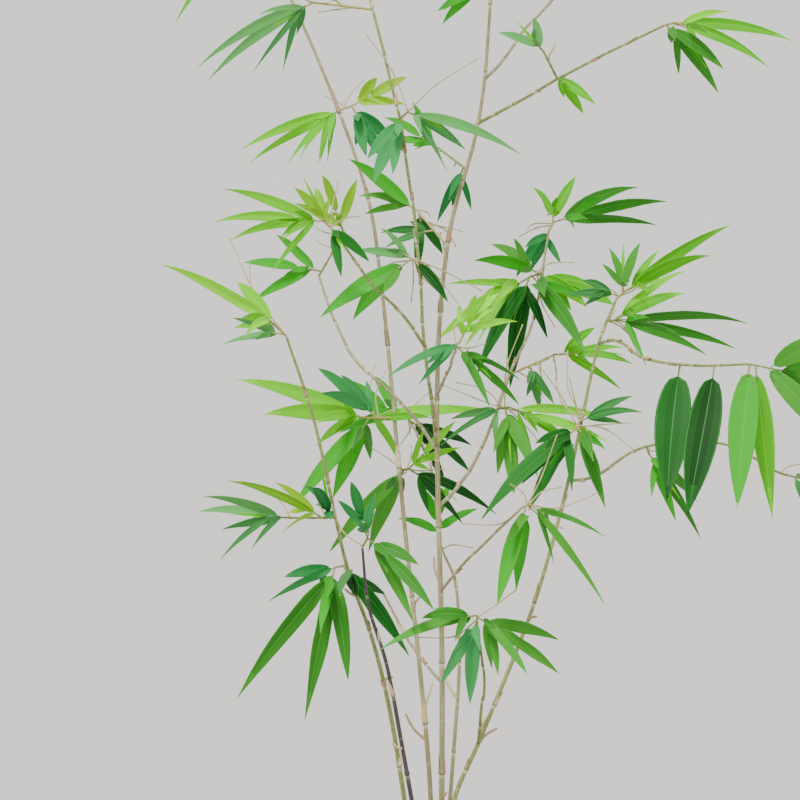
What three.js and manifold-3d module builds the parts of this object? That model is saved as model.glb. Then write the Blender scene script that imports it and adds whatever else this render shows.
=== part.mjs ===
// A clump of slender bamboo in a plain round pot, in millimetres, +Z up.
// The origin is the middle of the pot's flat underside. +X is to the right and +Y away, seen from the front.

import * as THREE from 'three';
import { mergeVertices } from 'three/addons/utils/BufferGeometryUtils.js';
import Module from 'manifold-3d';

const wasm = await Module();
wasm.setup();

// Driving dimensions of the pot and the soil
const potHeight = 200;
const potFootRadius = 82;
const potRimRadius = 110;
const potWall = 8;
const potFloor = 12;
const rimBandHeight = 24;
const rimBandProud = 4;
const soilTop = 185;
const soilBulge = 4;
const potSegments = 40;

// Driving dimensions of the canes, boughs and leaves
const seatGap = 0.3;
const depthSpread = 1.35;
const caneSides = 7;
const boughSides = 5;
const nodeSwell = 1.22;
const ringsPerInternode = 2;
const footFlare = 1.0;
const flareHeight = 18;
const stemRadius = 1.6;
const stemTipRadius = 1.4;
const twigRadius = 1.4;
const twigStart = 8;
const leafStep = 5;
const leafThickness = 0.013;
const petioleWidth = 0.9;
const leafRows = 9;
const turnSpread = 8;
const lengthSpread = 0.12;
const leafLean = 50;
const leafLeanStep = 8;
const leafRoll = 48;
const leastShown = 0.72;
const leastDroop = 0.08;
const droopSpread = 0.16;
const twigLean = 30;
const twigLeanStep = 10;
const stemBend = 12;
const keepClear = 0.8;
const tries = 16;
const crossFree = 0.2;

// Canes from the soil to the tip, each through a few places [across, back, up], with its radius at both ends
const canes = [
  { name: 'cane_main', foot: 3.0, tip: 1.3, internodes: 12, colour: 0xcdb995,
    through: [[1, 0], [2, 2, 402], [-3, 4, 665], [8, 2, 823], [38, -4, 941], [50, -10, 1060],
      [60, -4, 1300]] },
  { name: 'cane_pale', foot: 2.6, tip: 1.3, internodes: 11, colour: 0xd2c19e,
    through: [[-6, 32], [-13, 40, 321], [-37, 56, 554], [-58, 78, 772], [-79, 92, 893],
      [-147, 112, 1065], [-190, 122, 1130]] },
  { name: 'cane_left', foot: 2.5, tip: 1.3, internodes: 7, colour: 0x9a9a52,
    through: [[-24, 6], [-47, -14, 338], [-67, -30, 425], [-94, -44, 505], [-124, -58, 640],
      [-152, -72, 727]] },
  { name: 'cane_black', foot: 2.5, tip: 1.3, internodes: 5, colour: 0x3a3038,
    through: [[-14, -20], [-37, -40, 316], [-53, -60, 402], [-71, -84, 462], [-77, -98, 519]] },
  { name: 'cane_short', foot: 2.2, tip: 1.3, internodes: 4, colour: 0xc9b78f,
    through: [[4, 30], [14, 44, 310], [20, 62, 400], [17, 78, 475], [5, 88, 508]] },
  { name: 'cane_right', foot: 2.6, tip: 1.3, internodes: 8, colour: 0x8f9152,
    through: [[-2, -28], [14, -34, 268], [42, -30, 333], [94, -8, 462], [129, 14, 585],
      [158, 30, 715], [177, 36, 765]] },
];

// Boughs, each carried by a cane or another bough at a height, through a few places to its tip
const boughs = [
  { name: 'bough_front', on: 'cane_main', height: 617, foot: 2.0, tip: 1.2, colour: 0x8d8f4e,
    through: [[-8, -26, 660], [-16, -48, 721], [-23, -62, 820], [-40, -72, 940], [-70, -72, 1065],
      [-78, -66, 1130]] },
  { name: 'bough_left', on: 'bough_front', height: 718, foot: 1.7, tip: 1.2, colour: 0x9c9a58,
    through: [[-36, -62, 748], [-66, -80, 778], [-106, -104, 832]] },
  { name: 'bough_back_left', on: 'cane_main', height: 612, foot: 1.8, tip: 1.2, colour: 0xb9ac7c,
    through: [[-32, 22, 655], [-85, 34, 706], [-108, 62, 750], [-122, 92, 790]] },
  { name: 'bough_high', on: 'cane_main', height: 558, foot: 2.0, tip: 1.2, colour: 0xb4a878,
    through: [[18, 18, 578], [42, 44, 616], [76, 86, 702], [96, 108, 747], [112, 132, 837]] },
  { name: 'bough_right', on: 'cane_main', height: 941, foot: 1.7, tip: 1.2, colour: 0xa9a568,
    through: [[80, -30, 963], [139, -66, 995], [218, -112, 1032]] },
  { name: 'bough_upper', on: 'cane_main', height: 985, foot: 1.7, tip: 1.2, colour: 0xb6aa78,
    through: [[62, 18, 1004], [84, 48, 1036], [122, 82, 1080], [150, 104, 1125]] },
  { name: 'bough_low_right', on: 'cane_main', height: 473, foot: 1.7, tip: 1.2, colour: 0xbfb386,
    through: [[22, -22, 500], [48, -44, 527], [80, -66, 558]] },
  { name: 'bough_low_left', on: 'cane_main', height: 379, foot: 1.7, tip: 1.2, colour: 0xbfb386,
    through: [[-14, 14, 400], [-35, 26, 430], [-58, 30, 473]] },
  { name: 'shoot_low', on: 'cane_right', height: 322, foot: 1.7, tip: 1.2, colour: 0x9a9a52,
    through: [[40, -50, 350], [43, -66, 390], [36, -84, 443]] },
  { name: 'bough_back_right', on: 'cane_right', height: 583, foot: 1.7, tip: 1.2, colour: 0xa9a568,
    through: [[158, 40, 589], [210, 84, 618], [290, 128, 620], [345, 150, 592]] },
  { name: 'bough_front_right', on: 'cane_right', height: 722, foot: 1.8, tip: 1.2, colour: 0xa9a568,
    through: [[178, 0, 724], [204, -40, 706], [250, -92, 699], [300, -134, 700]] },
  { name: 'bough_middle_front', on: 'cane_main', height: 668, foot: 1.7, tip: 1.2, colour: 0xb4a878,
    through: [[6, -44, 690], [14, -100, 712], [12, -150, 716]] },
  { name: 'bough_middle_back', on: 'cane_main', height: 520, foot: 1.7, tip: 1.2, colour: 0xb4a878,
    through: [[-4, 60, 570], [-12, 110, 610], [-28, 160, 640]] },
];

// Foliage masses. Each grows one stem from a limb, at a height on it or at its tip, that aims so many
// degrees up from +X and leans so many degrees back. Each fan of leaves springs from a short twig,
// at a share of the stem's reach, and turns from its first leaf's heading to its last one's.
const masses = [
  { name: 'foliage_left_tip', on: 'cane_left', reach: 14, aim: 130, lean: -20, seed: 11, fans: [
    { out: 1, turn: [154, 132], leaves: 2, long: [146, 62], wide: 14, tint: 'lime' },
    { out: 0.2, turn: [185, 160], leaves: 2, long: [56, 48], wide: 9, tint: 'grey' }] },
  { name: 'foliage_left_lower', on: 'cane_left', height: 548, reach: 48, aim: 180, lean: -25, seed: 13,
    fans: [
    { out: 1, turn: [192, 160], leaves: 3, long: [64, 92], wide: 10, tint: 'grey' },
    { out: 0.3, turn: [156, 140], leaves: 2, long: [110, 62], wide: 9, tint: 'yellow' },
    { out: 0.1, turn: [118, 84], leaves: 2, long: [46, 40], wide: 12, tint: 'teal' }] },
  { name: 'foliage_left_hanging', on: 'cane_left', height: 500, reach: 14, aim: 190, lean: -30, seed: 14,
    fans: [
    { out: 1, turn: [234, 284], leaves: 3, long: [136, 90], wide: 19, tint: 'mid' },
    { out: 0.3, turn: [306, 294], leaves: 2, long: [92, 78], wide: 18, tint: 'dark' },
    { out: 0.6, turn: [205, 188], leaves: 2, long: [70, 46], wide: 12, tint: 'teal' }] },
  { name: 'foliage_black_tip', on: 'cane_black', reach: 12, aim: 60, lean: -30, seed: 15, fans: [
    { out: 1, turn: [298, 335], leaves: 3, long: [80, 46], wide: 13, tint: 'mid' },
    { out: 1, turn: [80, 130], leaves: 3, long: [46, 50], wide: 11, tint: 'teal' }] },
  { name: 'foliage_pale_middle', on: 'cane_pale', height: 645, reach: 30, aim: 180, lean: 12, seed: 16,
    fans: [
    { out: 1, turn: [162, 176], leaves: 2, long: [147, 96], wide: 18, tint: 'lime' },
    { out: 0.9, turn: [232, 248], leaves: 2, long: [106, 70], wide: 18, tint: 'mid' },
    { out: 0.6, turn: [128, 150], leaves: 3, long: [66, 62], wide: 13, tint: 'teal' },
    { out: 1, turn: [4, -12], leaves: 2, long: [142, 78], wide: 14, tint: 'lime' }] },
  { name: 'foliage_pale_low', on: 'cane_pale', height: 594, reach: 12, aim: 5, lean: 25, seed: 17, fans: [
    { out: 1, turn: [-22, -42], leaves: 3, long: [84, 64], wide: 13, tint: 'dark' },
    { out: 0.5, turn: [225, 242], leaves: 2, long: [98, 80], wide: 16, tint: 'mid' },
    { out: 0.9, turn: [70, 20], leaves: 3, long: [50, 56], wide: 9, tint: 'lime' }] },
  { name: 'foliage_pale_upper', on: 'cane_pale', height: 958, reach: 16, aim: 20, lean: 20, seed: 18, fans: [
    { out: 0.2, turn: [196, 216], leaves: 3, long: [96, 78], wide: 11, tint: 'lime' },
    { out: 1, turn: [-35, -80], leaves: 3, long: [46, 38], wide: 14, tint: 'teal' },
    { out: 1, turn: [0, 55], leaves: 3, long: [52, 40], wide: 11, tint: 'yellow' }] },
  { name: 'foliage_pale_tip', on: 'cane_pale', reach: 36, aim: 110, lean: 25, seed: 19, fans: [
    { out: 1, turn: [190, 70], leaves: 5, long: [104, 96], wide: 14, tint: 'mid' },
    { out: 0.3, turn: [225, 165], leaves: 3, long: [92, 88], wide: 13, tint: 'lime' }] },
  { name: 'foliage_front_arm', on: 'bough_front', height: 1050, reach: 64, aim: 174, lean: -20, seed: 21,
    fans: [
    { out: 1, turn: [206, 214], leaves: 2, long: [116, 110], wide: 11, tint: 'yellow' },
    { out: 0.5, turn: [160, 120], leaves: 2, long: [84, 76], wide: 11, tint: 'mid' }] },
  { name: 'foliage_front_upper', on: 'bough_front', height: 942, reach: 12, aim: 40, lean: -30, seed: 22,
    fans: [
    { out: 1, turn: [-16, -30], leaves: 2, long: [116, 56], wide: 11, tint: 'grey' },
    { out: 0.4, turn: [230, 262], leaves: 3, long: [46, 40], wide: 13, tint: 'teal' }] },
  { name: 'foliage_front_middle', on: 'bough_front', height: 805, reach: 10, aim: 195, lean: -25, seed: 23,
    fans: [
    { out: 1, turn: [206, 222], leaves: 2, long: [94, 62], wide: 18, tint: 'mid' },
    { out: 0.6, turn: [170, 130], leaves: 2, long: [56, 48], wide: 9, tint: 'grey' },
    { out: 0.4, turn: [-50, -74], leaves: 2, long: [40, 34], wide: 11, tint: 'dark' }] },
  { name: 'foliage_front_tip', on: 'bough_front', reach: 34, aim: 96, lean: -25, seed: 24, fans: [
    { out: 1, turn: [150, 30], leaves: 5, long: [98, 92], wide: 14, tint: 'mid' },
    { out: 0.3, turn: [190, 225], leaves: 2, long: [84, 78], wide: 13, tint: 'lime' },
    { out: 0.3, turn: [-10, 25], leaves: 2, long: [84, 78], wide: 12, tint: 'teal' }] },
  { name: 'foliage_left_arm', on: 'bough_left', reach: 12, aim: 135, lean: -15, seed: 25, fans: [
    { out: 1, turn: [164, 190], leaves: 3, long: [100, 82], wide: 11, tint: 'lime' },
    { out: 0.6, turn: [130, 105], leaves: 2, long: [48, 42], wide: 10, tint: 'yellow' },
    { out: 0.3, turn: [-40, -75], leaves: 2, long: [42, 38], wide: 11, tint: 'dark' }] },
  { name: 'foliage_back_left', on: 'bough_back_left', reach: 56, aim: 60, lean: 15, seed: 26, fans: [
    { out: 1, turn: [150, 70], leaves: 3, long: [58, 54], wide: 10, tint: 'yellow' },
    { out: 0.1, turn: [140, 200], leaves: 3, long: [58, 66], wide: 11, tint: 'mid' }] },
  { name: 'foliage_main_left', on: 'cane_main', height: 817, reach: 56, aim: 130, lean: 22, seed: 27, fans: [
    { out: 1, turn: [142, 158], leaves: 2, long: [94, 64], wide: 14, tint: 'mid' },
    { out: 0.9, turn: [-58, -95], leaves: 2, long: [36, 44], wide: 11, tint: 'dark' },
    { out: 0.4, turn: [178, 198], leaves: 2, long: [50, 42], wide: 9, tint: 'grey' }] },
  { name: 'foliage_main_upper', on: 'cane_main', height: 894, reach: 40, aim: 142, lean: 20, seed: 28, fans: [
    { out: 1, turn: [120, 176], leaves: 3, long: [54, 50], wide: 9, tint: 'mid' },
    { out: 0.1, turn: [242, 258], leaves: 2, long: [52, 44], wide: 11, tint: 'teal' }] },
  { name: 'foliage_main_high', on: 'cane_main', height: 1072, reach: 12, aim: 150, lean: 30, seed: 29, fans: [
    { out: 1, turn: [204, 214], leaves: 2, long: [44, 40], wide: 10, tint: 'mid' },
    { out: 1, turn: [150, 60], leaves: 4, long: [90, 80], wide: 13, tint: 'lime' }] },
  { name: 'foliage_main_top', on: 'cane_main', height: 1185, reach: 34, aim: 40, lean: -30, seed: 30, fans: [
    { out: 1, turn: [60, -20], leaves: 4, long: [94, 88], wide: 13, tint: 'mid' },
    { out: 0.3, turn: [150, 200], leaves: 3, long: [90, 84], wide: 13, tint: 'lime' }] },
  { name: 'foliage_main_tip', on: 'cane_main', reach: 26, aim: 95, lean: 5, seed: 31, fans: [
    { out: 1, turn: [165, 15], leaves: 6, long: [92, 92], wide: 13, tint: 'lime' },
    { out: 0.1, turn: [190, 170], leaves: 2, long: [80, 70], wide: 12, tint: 'teal' }] },
  { name: 'foliage_upper_tip', on: 'bough_upper', reach: 28, aim: 55, lean: 25, seed: 32, fans: [
    { out: 1, turn: [110, -10], leaves: 5, long: [96, 92], wide: 14, tint: 'mid' },
    { out: 0.2, turn: [-10, 20], leaves: 2, long: [86, 78], wide: 12, tint: 'lime' }] },
  { name: 'foliage_right_tip', on: 'bough_right', reach: 12, aim: 15, lean: -15, seed: 33, fans: [
    { out: 1, turn: [-8, -20], leaves: 2, long: [120, 84], wide: 12, tint: 'lime' },
    { out: 0.2, turn: [-36, -52], leaves: 2, long: [58, 64], wide: 13, tint: 'mid' }] },
  { name: 'foliage_right_middle', on: 'bough_right', along: 0.55, reach: 34, aim: 118, lean: -30, seed: 34,
    fans: [
    { out: 1, turn: [105, 160], leaves: 2, long: [40, 46], wide: 9, tint: 'grey' },
    { out: 0.1, turn: [-30, -52], leaves: 2, long: [42, 38], wide: 10, tint: 'lime' }] },
  { name: 'foliage_high_tip', on: 'bough_high', reach: 12, aim: 60, lean: 15, seed: 35, fans: [
    { out: 1, turn: [26, 2], leaves: 3, long: [104, 96], wide: 13, tint: 'mid' },
    { out: 0.7, turn: [60, 115], leaves: 2, long: [60, 52], wide: 11, tint: 'lime' },
    { out: 0.1, turn: [232, 250], leaves: 2, long: [48, 44], wide: 13, tint: 'teal' }] },
  { name: 'foliage_high_fan', on: 'bough_high', height: 795, reach: 16, aim: 200, lean: -30, seed: 36, fans: [
    { out: 1, turn: [260, 238], leaves: 2, long: [86, 84], wide: 19, tint: 'dark' },
    { out: 1, turn: [226, 196], leaves: 4, long: [76, 92], wide: 12, tint: 'lime' },
    { out: 0.8, turn: [-54, -36], leaves: 2, long: [98, 84], wide: 17, tint: 'mid' },
    { out: 0.4, turn: [-28, -14], leaves: 3, long: [50, 66], wide: 14, tint: 'lime' },
    { out: 0.2, turn: [170, 144], leaves: 2, long: [74, 58], wide: 13, tint: 'mid' }] },
  { name: 'foliage_high_middle', on: 'bough_high', height: 690, reach: 60, aim: 24, lean: 25, seed: 37,
    fans: [
    { out: 1, turn: [35, -30], leaves: 4, long: [54, 62], wide: 10, tint: 'lime' },
    { out: 0.4, turn: [-55, -80], leaves: 2, long: [36, 32], wide: 10, tint: 'grey' }] },
  { name: 'foliage_high_low', on: 'bough_high', height: 655, reach: 14, aim: 8, lean: -35, seed: 38, fans: [
    { out: 1, turn: [-6, -34], leaves: 3, long: [112, 64], wide: 10, tint: 'lime' },
    { out: 0.7, turn: [-66, -100], leaves: 3, long: [64, 52], wide: 15, tint: 'mid' },
    { out: 0.2, turn: [205, 188], leaves: 2, long: [64, 52], wide: 9, tint: 'grey' }] },
  { name: 'foliage_right_cane_low', on: 'cane_right', height: 650, reach: 18, aim: 240, lean: -35, seed: 39,
    fans: [
    { out: 1, turn: [222, 242], leaves: 2, long: [110, 84], wide: 19, tint: 'dark' },
    { out: 0.8, turn: [284, 312], leaves: 2, long: [74, 62], wide: 13, tint: 'mid' },
    { out: 0.5, turn: [8, 32], leaves: 2, long: [66, 54], wide: 9, tint: 'grey' }] },
  { name: 'foliage_right_cane_node', on: 'cane_right', height: 744, reach: 12, aim: 5, lean: 30, seed: 41,
    fans: [
    { out: 1, turn: [-20, 0], leaves: 3, long: [92, 124], wide: 11, tint: 'mid' },
    { out: 0.8, turn: [34, 22], leaves: 2, long: [106, 74], wide: 12, tint: 'lime' }] },
  { name: 'foliage_right_cane_tip', on: 'cane_right', reach: 14, aim: 45, lean: 20, seed: 42, fans: [
    { out: 1, turn: [34, 22], leaves: 2, long: [130, 106], wide: 13, tint: 'lime' },
    { out: 0.4, turn: [178, 150], leaves: 2, long: [48, 42], wide: 9, tint: 'grey' },
    { out: 0.8, turn: [70, 110], leaves: 2, long: [60, 56], wide: 10, tint: 'mid' }] },
  { name: 'foliage_hanging_dark', on: 'bough_front_right', along: 0.68, reach: 4, aim: 262, lean: -20,
    seed: 43, roll: 16, fans: [
      { out: 0.8, turn: [259, 262], leaves: 1, long: [108], wide: 36, tint: 'dark' }] },
  { name: 'foliage_hanging_bright', on: 'bough_front_right', along: 0.84, reach: 4, aim: 280, lean: -15,
    seed: 44, roll: 16, fans: [
      { out: 0.8, turn: [261, 262], leaves: 1, long: [128], wide: 33, tint: 'dark' }] },
  { name: 'foliage_hanging_tip', on: 'bough_front_right', reach: 10, aim: -10, lean: -20, seed: 45,
    roll: 24, fans: [
      { out: 0.1, turn: [262, 263], leaves: 1, long: [116], wide: 29, tint: 'mid' },
      { out: 0.7, turn: [274, 276], leaves: 1, long: [122], wide: 22, tint: 'lime' },
      { out: 1, turn: [-46, 22], leaves: 4, long: [106, 90], wide: 22, tint: 'mid' }] },
  { name: 'foliage_back_right', on: 'bough_back_right', along: 0.5, reach: 10, aim: 290, lean: 25, seed: 46,
    fans: [
    { out: 1, turn: [-70, -40], leaves: 3, long: [62, 68], wide: 12, tint: 'mid' },
    { out: 0.2, turn: [60, 100], leaves: 2, long: [50, 56], wide: 10, tint: 'grey' }] },
  { name: 'foliage_back_right_tip', on: 'bough_back_right', reach: 12, aim: -20, lean: 20, seed: 47, fans: [
    { out: 1, turn: [-60, 35], leaves: 5, long: [72, 84], wide: 12, tint: 'grey' }] },
  { name: 'foliage_low_right', on: 'bough_low_right', reach: 9, aim: 25, lean: -25, seed: 48, fans: [
    { out: 1, turn: [-48, -20], leaves: 2, long: [108, 70], wide: 9, tint: 'mid' },
    { out: 0.5, turn: [250, 268], leaves: 2, long: [80, 62], wide: 17, tint: 'mid' }] },
  { name: 'foliage_low_shoot', on: 'shoot_low', reach: 10, aim: 90, lean: -20, seed: 49, fans: [
    { out: 1, turn: [198, 176], leaves: 2, long: [96, 50], wide: 13, tint: 'mid' },
    { out: 0.8, turn: [-46, -16], leaves: 3, long: [60, 76], wide: 14, tint: 'mid' },
    { out: 0.5, turn: [262, 236], leaves: 2, long: [60, 54], wide: 15, tint: 'teal' }] },
  { name: 'foliage_middle_front', on: 'bough_middle_front', reach: 10, aim: 40, lean: -30, seed: 50, fans: [
    { out: 1, turn: [206, 226], leaves: 2, long: [66, 50], wide: 10, tint: 'teal' },
    { out: 0.8, turn: [100, 20], leaves: 4, long: [40, 54], wide: 9, tint: 'lime' },
    { out: 0.3, turn: [-60, -20], leaves: 3, long: [48, 60], wide: 10, tint: 'mid' }] },
  { name: 'foliage_middle_back', on: 'bough_middle_back', reach: 12, aim: 120, lean: 35, seed: 51, fans: [
    { out: 1, turn: [200, 120], leaves: 4, long: [64, 62], wide: 13, tint: 'mid' },
    { out: 0.5, turn: [300, 345], leaves: 3, long: [62, 58], wide: 13, tint: 'dark' }] },
  { name: 'foliage_short_tip', on: 'cane_short', reach: 18, aim: 110, lean: 25, seed: 52, fans: [
    { out: 1, turn: [160, 30], leaves: 4, long: [52, 48], wide: 11, tint: 'mid' }] },
];

// Leaf colours by tint
const tints = {
  lime: 0x8fbf3a, yellow: 0xb3c25a, mid: 0x4f9438, dark: 0x2c6134, teal: 0x5aa57c, grey: 0x8fb48c,
};

const up = new THREE.Vector3(0, 0, 1);
const back = new THREE.Vector3(0, 1, 0);

// A repeatable run of numbers between 0 and 1
function drawFrom(seed) {
  const modulus = 2147483647;
  let state = seed * 7919;
  return () => {
    state = (16807 * state) % modulus;
    return state / modulus;
  };
}

// The unit heading that aims so many degrees up from +X in the front view and leans so many degrees back
function heading(aim, lean) {
  const a = THREE.MathUtils.degToRad(aim);
  const b = THREE.MathUtils.degToRad(lean);
  return new THREE.Vector3(Math.cos(a) * Math.cos(b), Math.sin(b), Math.sin(a) * Math.cos(b));
}

// A closed solid from a geometry whose doubled vertices are merged
function solidOf(geometry) {
  geometry.deleteAttribute('normal');
  geometry.deleteAttribute('uv');
  const merged = mergeVertices(geometry, 1e-4);
  return new wasm.Manifold(new wasm.Mesh({
    numProp: 3,
    vertProperties: new Float32Array(merged.attributes.position.array),
    triVerts: new Uint32Array(merged.index.array),
  }));
}

// The largest body of a solid, without the slivers that a cut leaves beside it
function withoutScraps(solid) {
  return solid.decompose().reduce((a, b) => (a.volume() > b.volume() ? a : b));
}

// The geometry of a solid
function geometryOf(solid) {
  const mesh = solid.getMesh();
  const geometry = new THREE.BufferGeometry();
  geometry.setAttribute('position', new THREE.BufferAttribute(new Float32Array(mesh.vertProperties), 3));
  geometry.setIndex(new THREE.BufferAttribute(new Uint32Array(mesh.triVerts), 1));
  return geometry;
}

// A cylinder carried along a route: its rings stand square to the route, or level at a cut foot
function tube(route, radiusAt, sides, rings, levelFoot) {
  const geometry = new THREE.CylinderGeometry(1, 1, 1, sides, rings);
  const position = geometry.attributes.position;
  for (let i = 0; i < position.count; i += 1) {
    const along = Math.round((position.getY(i) + 0.5) * rings) / rings;
    const forward = levelFoot && along === 0 ? up.clone() : route.getTangent(along);
    const side = new THREE.Vector3().crossVectors(forward, back).normalize();
    const other = new THREE.Vector3().crossVectors(side, forward);
    const radius = radiusAt(along);
    const place = route.getPoint(along);
    place.addScaledVector(side, position.getX(i) * radius);
    place.addScaledVector(other, position.getZ(i) * radius);
    position.setXYZ(i, place.x, place.y, place.z);
  }
  return geometry;
}

// The route through a limb's places
function routeThrough(places) {
  return new THREE.CatmullRomCurve3(places, false, 'catmullrom', 0.5);
}

// How far along its route a limb first reaches a height
function alongAtHeight(route, height) {
  const steps = 400;
  for (let i = 0; i <= steps; i += 1) {
    if (route.getPoint(i / steps).z >= height) return i / steps;
  }
  return 1;
}

// Where something of a given radius and heading springs from: the limb's axis, or just past its tip
function springFrom(limb, along, direction, ownRadius) {
  const axis = limb.route.getPoint(along);
  if (along < 1) return axis;
  const forward = limb.route.getTangent(1);
  const sine = Math.sqrt(Math.max(0, 1 - forward.dot(direction) ** 2));
  return axis.addScaledVector(forward, seatGap + ownRadius * sine);
}

// A place in the clump: its depth is spread by the same share everywhere
function placeOf([across, depth, height]) {
  return new THREE.Vector3(across, depth * depthSpread, height);
}

const part = new THREE.Group();

function addMesh(name, geometry, colour, roughness) {
  const material = new THREE.MeshStandardMaterial({ color: colour, roughness, metalness: 0 });
  const mesh = new THREE.Mesh(geometry, material);
  mesh.name = name;
  part.add(mesh);
}

// The pot: one turned wall and floor, with a band round its rim
function potGeometry() {
  const innerFoot = potFootRadius - potWall;
  const innerRim = potRimRadius - potWall - rimBandProud;
  const bandFoot = potHeight - rimBandHeight;
  const bodyTop = potRimRadius - rimBandProud;
  const profile = [
    [0, 0], [potFootRadius - 2, 0], [potFootRadius, 2], [bodyTop, bandFoot], [potRimRadius, bandFoot],
    [potRimRadius, potHeight - 2], [potRimRadius - 2, potHeight], [innerRim, potHeight],
    [innerFoot, potFloor], [0, potFloor],
  ];
  const turned = new THREE.LatheGeometry(profile.map(([r, z]) => new THREE.Vector2(r, z)), potSegments);
  return turned.rotateX(Math.PI / 2);
}

// The soil: it fills the pot from the floor to a little under the rim, and rises slightly to the middle
function soilGeometry() {
  const innerFoot = potFootRadius - potWall;
  const innerRim = potRimRadius - potWall - rimBandProud;
  const wallSlope = (innerRim - innerFoot) / (potHeight - potFloor);
  const foot = potFloor + seatGap;
  const edge = soilTop - soilBulge;
  const radiusAt = (z) => innerFoot + wallSlope * (z - potFloor) - seatGap - 0.4;
  const flat = 60;
  const profile = [[0, foot], [radiusAt(foot), foot], [radiusAt(edge), edge], [flat, soilTop], [0, soilTop]];
  const turned = new THREE.LatheGeometry(profile.map(([r, z]) => new THREE.Vector2(r, z)), potSegments);
  return turned.rotateX(Math.PI / 2);
}

addMesh('pot', geometryOf(solidOf(potGeometry())), 0x5a4a40, 0.75);
addMesh('soil', geometryOf(solidOf(soilGeometry())), 0x3b2d22, 0.95);

// Limbs by name, and the places that are already taken, each a centre and a radius
const limbs = new Map();
const taken = [];

function takeLimb(route, radiusAt) {
  const steps = Math.ceil(route.getLength() / 3);
  for (let i = 0; i <= steps; i += 1) {
    taken.push({ centre: route.getPoint(i / steps), radius: radiusAt(i / steps) });
  }
}

// Canes: swollen at each node, flared and cut level at the soil
for (const cane of canes) {
  const [[footAcross, footDepth], ...rest] = cane.through;
  const foot = placeOf([footAcross, footDepth, soilTop + seatGap]);
  const route = routeThrough([foot, ...rest.map(placeOf)]);
  const plain = (along) => {
    const rise = route.getPoint(along).z - foot.z;
    return THREE.MathUtils.lerp(cane.foot, cane.tip, along) + footFlare * Math.exp(-rise / flareHeight);
  };
  const swollen = (along) => {
    const ring = Math.round(along * cane.internodes * ringsPerInternode);
    const atNode = ring % ringsPerInternode === 0 && along > 0 && along < 1;
    return plain(along) * (atNode ? nodeSwell : 1);
  };
  const rings = cane.internodes * ringsPerInternode;
  const grown = solidOf(tube(route, (along) => swollen(along) + seatGap, caneSides, rings, true));
  limbs.set(cane.name, { route, grown });
  takeLimb(route, plain);
  addMesh(cane.name, geometryOf(solidOf(tube(route, swollen, caneSides, rings, true))), cane.colour, 0.45);
}

// Boughs: plain tapering limbs, each cut at its foot to sit on what carries it, clear by the seat gap
for (const bough of boughs) {
  const carrier = limbs.get(bough.on);
  const places = bough.through.map(placeOf);
  const along = alongAtHeight(carrier.route, bough.height);
  const direction = places[0].clone().sub(carrier.route.getPoint(along)).normalize();
  const foot = springFrom(carrier, along, direction, bough.foot);
  const route = routeThrough([foot, ...places]);
  const radiusAt = (share) => THREE.MathUtils.lerp(bough.foot, bough.tip, share);
  const rings = places.length * 2;
  const grown = solidOf(tube(route, (share) => radiusAt(share) + seatGap, boughSides, rings, false));
  limbs.set(bough.name, { route, grown });
  takeLimb(route, radiusAt);
  const solid = solidOf(tube(route, radiusAt, boughSides, rings, false)).subtract(carrier.grown);
  addMesh(bough.name, geometryOf(withoutScraps(solid)), bough.colour, 0.5);
}

// A leaf's route: straight out along its heading, falling with the square of the way
function leafPlace(leaf, share) {
  const fall = leaf.droop * leaf.length * share * share;
  return leaf.root.clone().addScaledVector(leaf.direction, leaf.length * share).addScaledVector(up, -fall);
}

// Half of a leaf's width, at a share of its length
function leafHalfWidth(leaf, share) {
  const full = Math.sin(Math.PI * Math.min(1, 0.06 + 0.94 * share) ** 0.62);
  return Math.max(petioleWidth / 2, (leaf.width / 2) * full) * (share === 1 ? 0 : 1);
}

// Three spots across each row of a leaf, with a radius that covers the blade between them
function leafSpots(leaf, from = 0) {
  const spots = [];
  for (let row = 1; row <= leafRows; row += 1) {
    const share = row / leafRows;
    if (share < from) continue;
    const half = leafHalfWidth(leaf, share);
    const radius = Math.max(half / 2, leaf.length / leafRows / 2);
    for (const across of [-0.6, 0, 0.6]) {
      const centre = leafPlace(leaf, share).addScaledVector(leaf.side, across * half);
      spots.push({ centre, radius });
    }
  }
  return spots;
}

function isFree(spots, others, clearance) {
  return spots.every((spot) => others.every((other) => {
    const room = spot.radius + other.radius + clearance;
    return spot.centre.distanceToSquared(other.centre) > room * room;
  }));
}

// A leaf's solid: a flat ridged section that starts inside the twig, widens, narrows and ends in a point
function leafSolid(leaf) {
  const thick = leaf.length * leafThickness;
  const stations = [
    { share: 0, half: petioleWidth / 2, rise: petioleWidth / 2 },
    { share: 0.3, half: leaf.width / 2, rise: thick },
    { share: 0.68, half: leaf.width * 0.36, rise: thick },
  ];
  const corners = 3;
  const vertices = [];
  for (const { share, half, rise } of stations) {
    const middle = leafPlace(leaf, share);
    vertices.push(middle.clone().addScaledVector(leaf.side, half));
    vertices.push(middle.clone().addScaledVector(leaf.face, rise));
    vertices.push(middle.clone().addScaledVector(leaf.side, -half));
  }
  vertices.push(leafPlace(leaf, 1));
  const tip = vertices.length - 1;
  const triangles = [[0, 2, 1]];
  for (let k = 0; k < corners; k += 1) {
    const next = (k + 1) % corners;
    for (let ring = 0; ring < stations.length - 1; ring += 1) {
      const a = ring * corners + k;
      const b = ring * corners + next;
      triangles.push([a, b, a + corners], [b, b + corners, a + corners]);
    }
    triangles.push([tip - corners + k, tip - corners + next, tip]);
  }
  const geometry = new THREE.BufferGeometry().setFromPoints(vertices);
  geometry.setIndex(triangles.flat());
  return solidOf(geometry);
}

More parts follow.
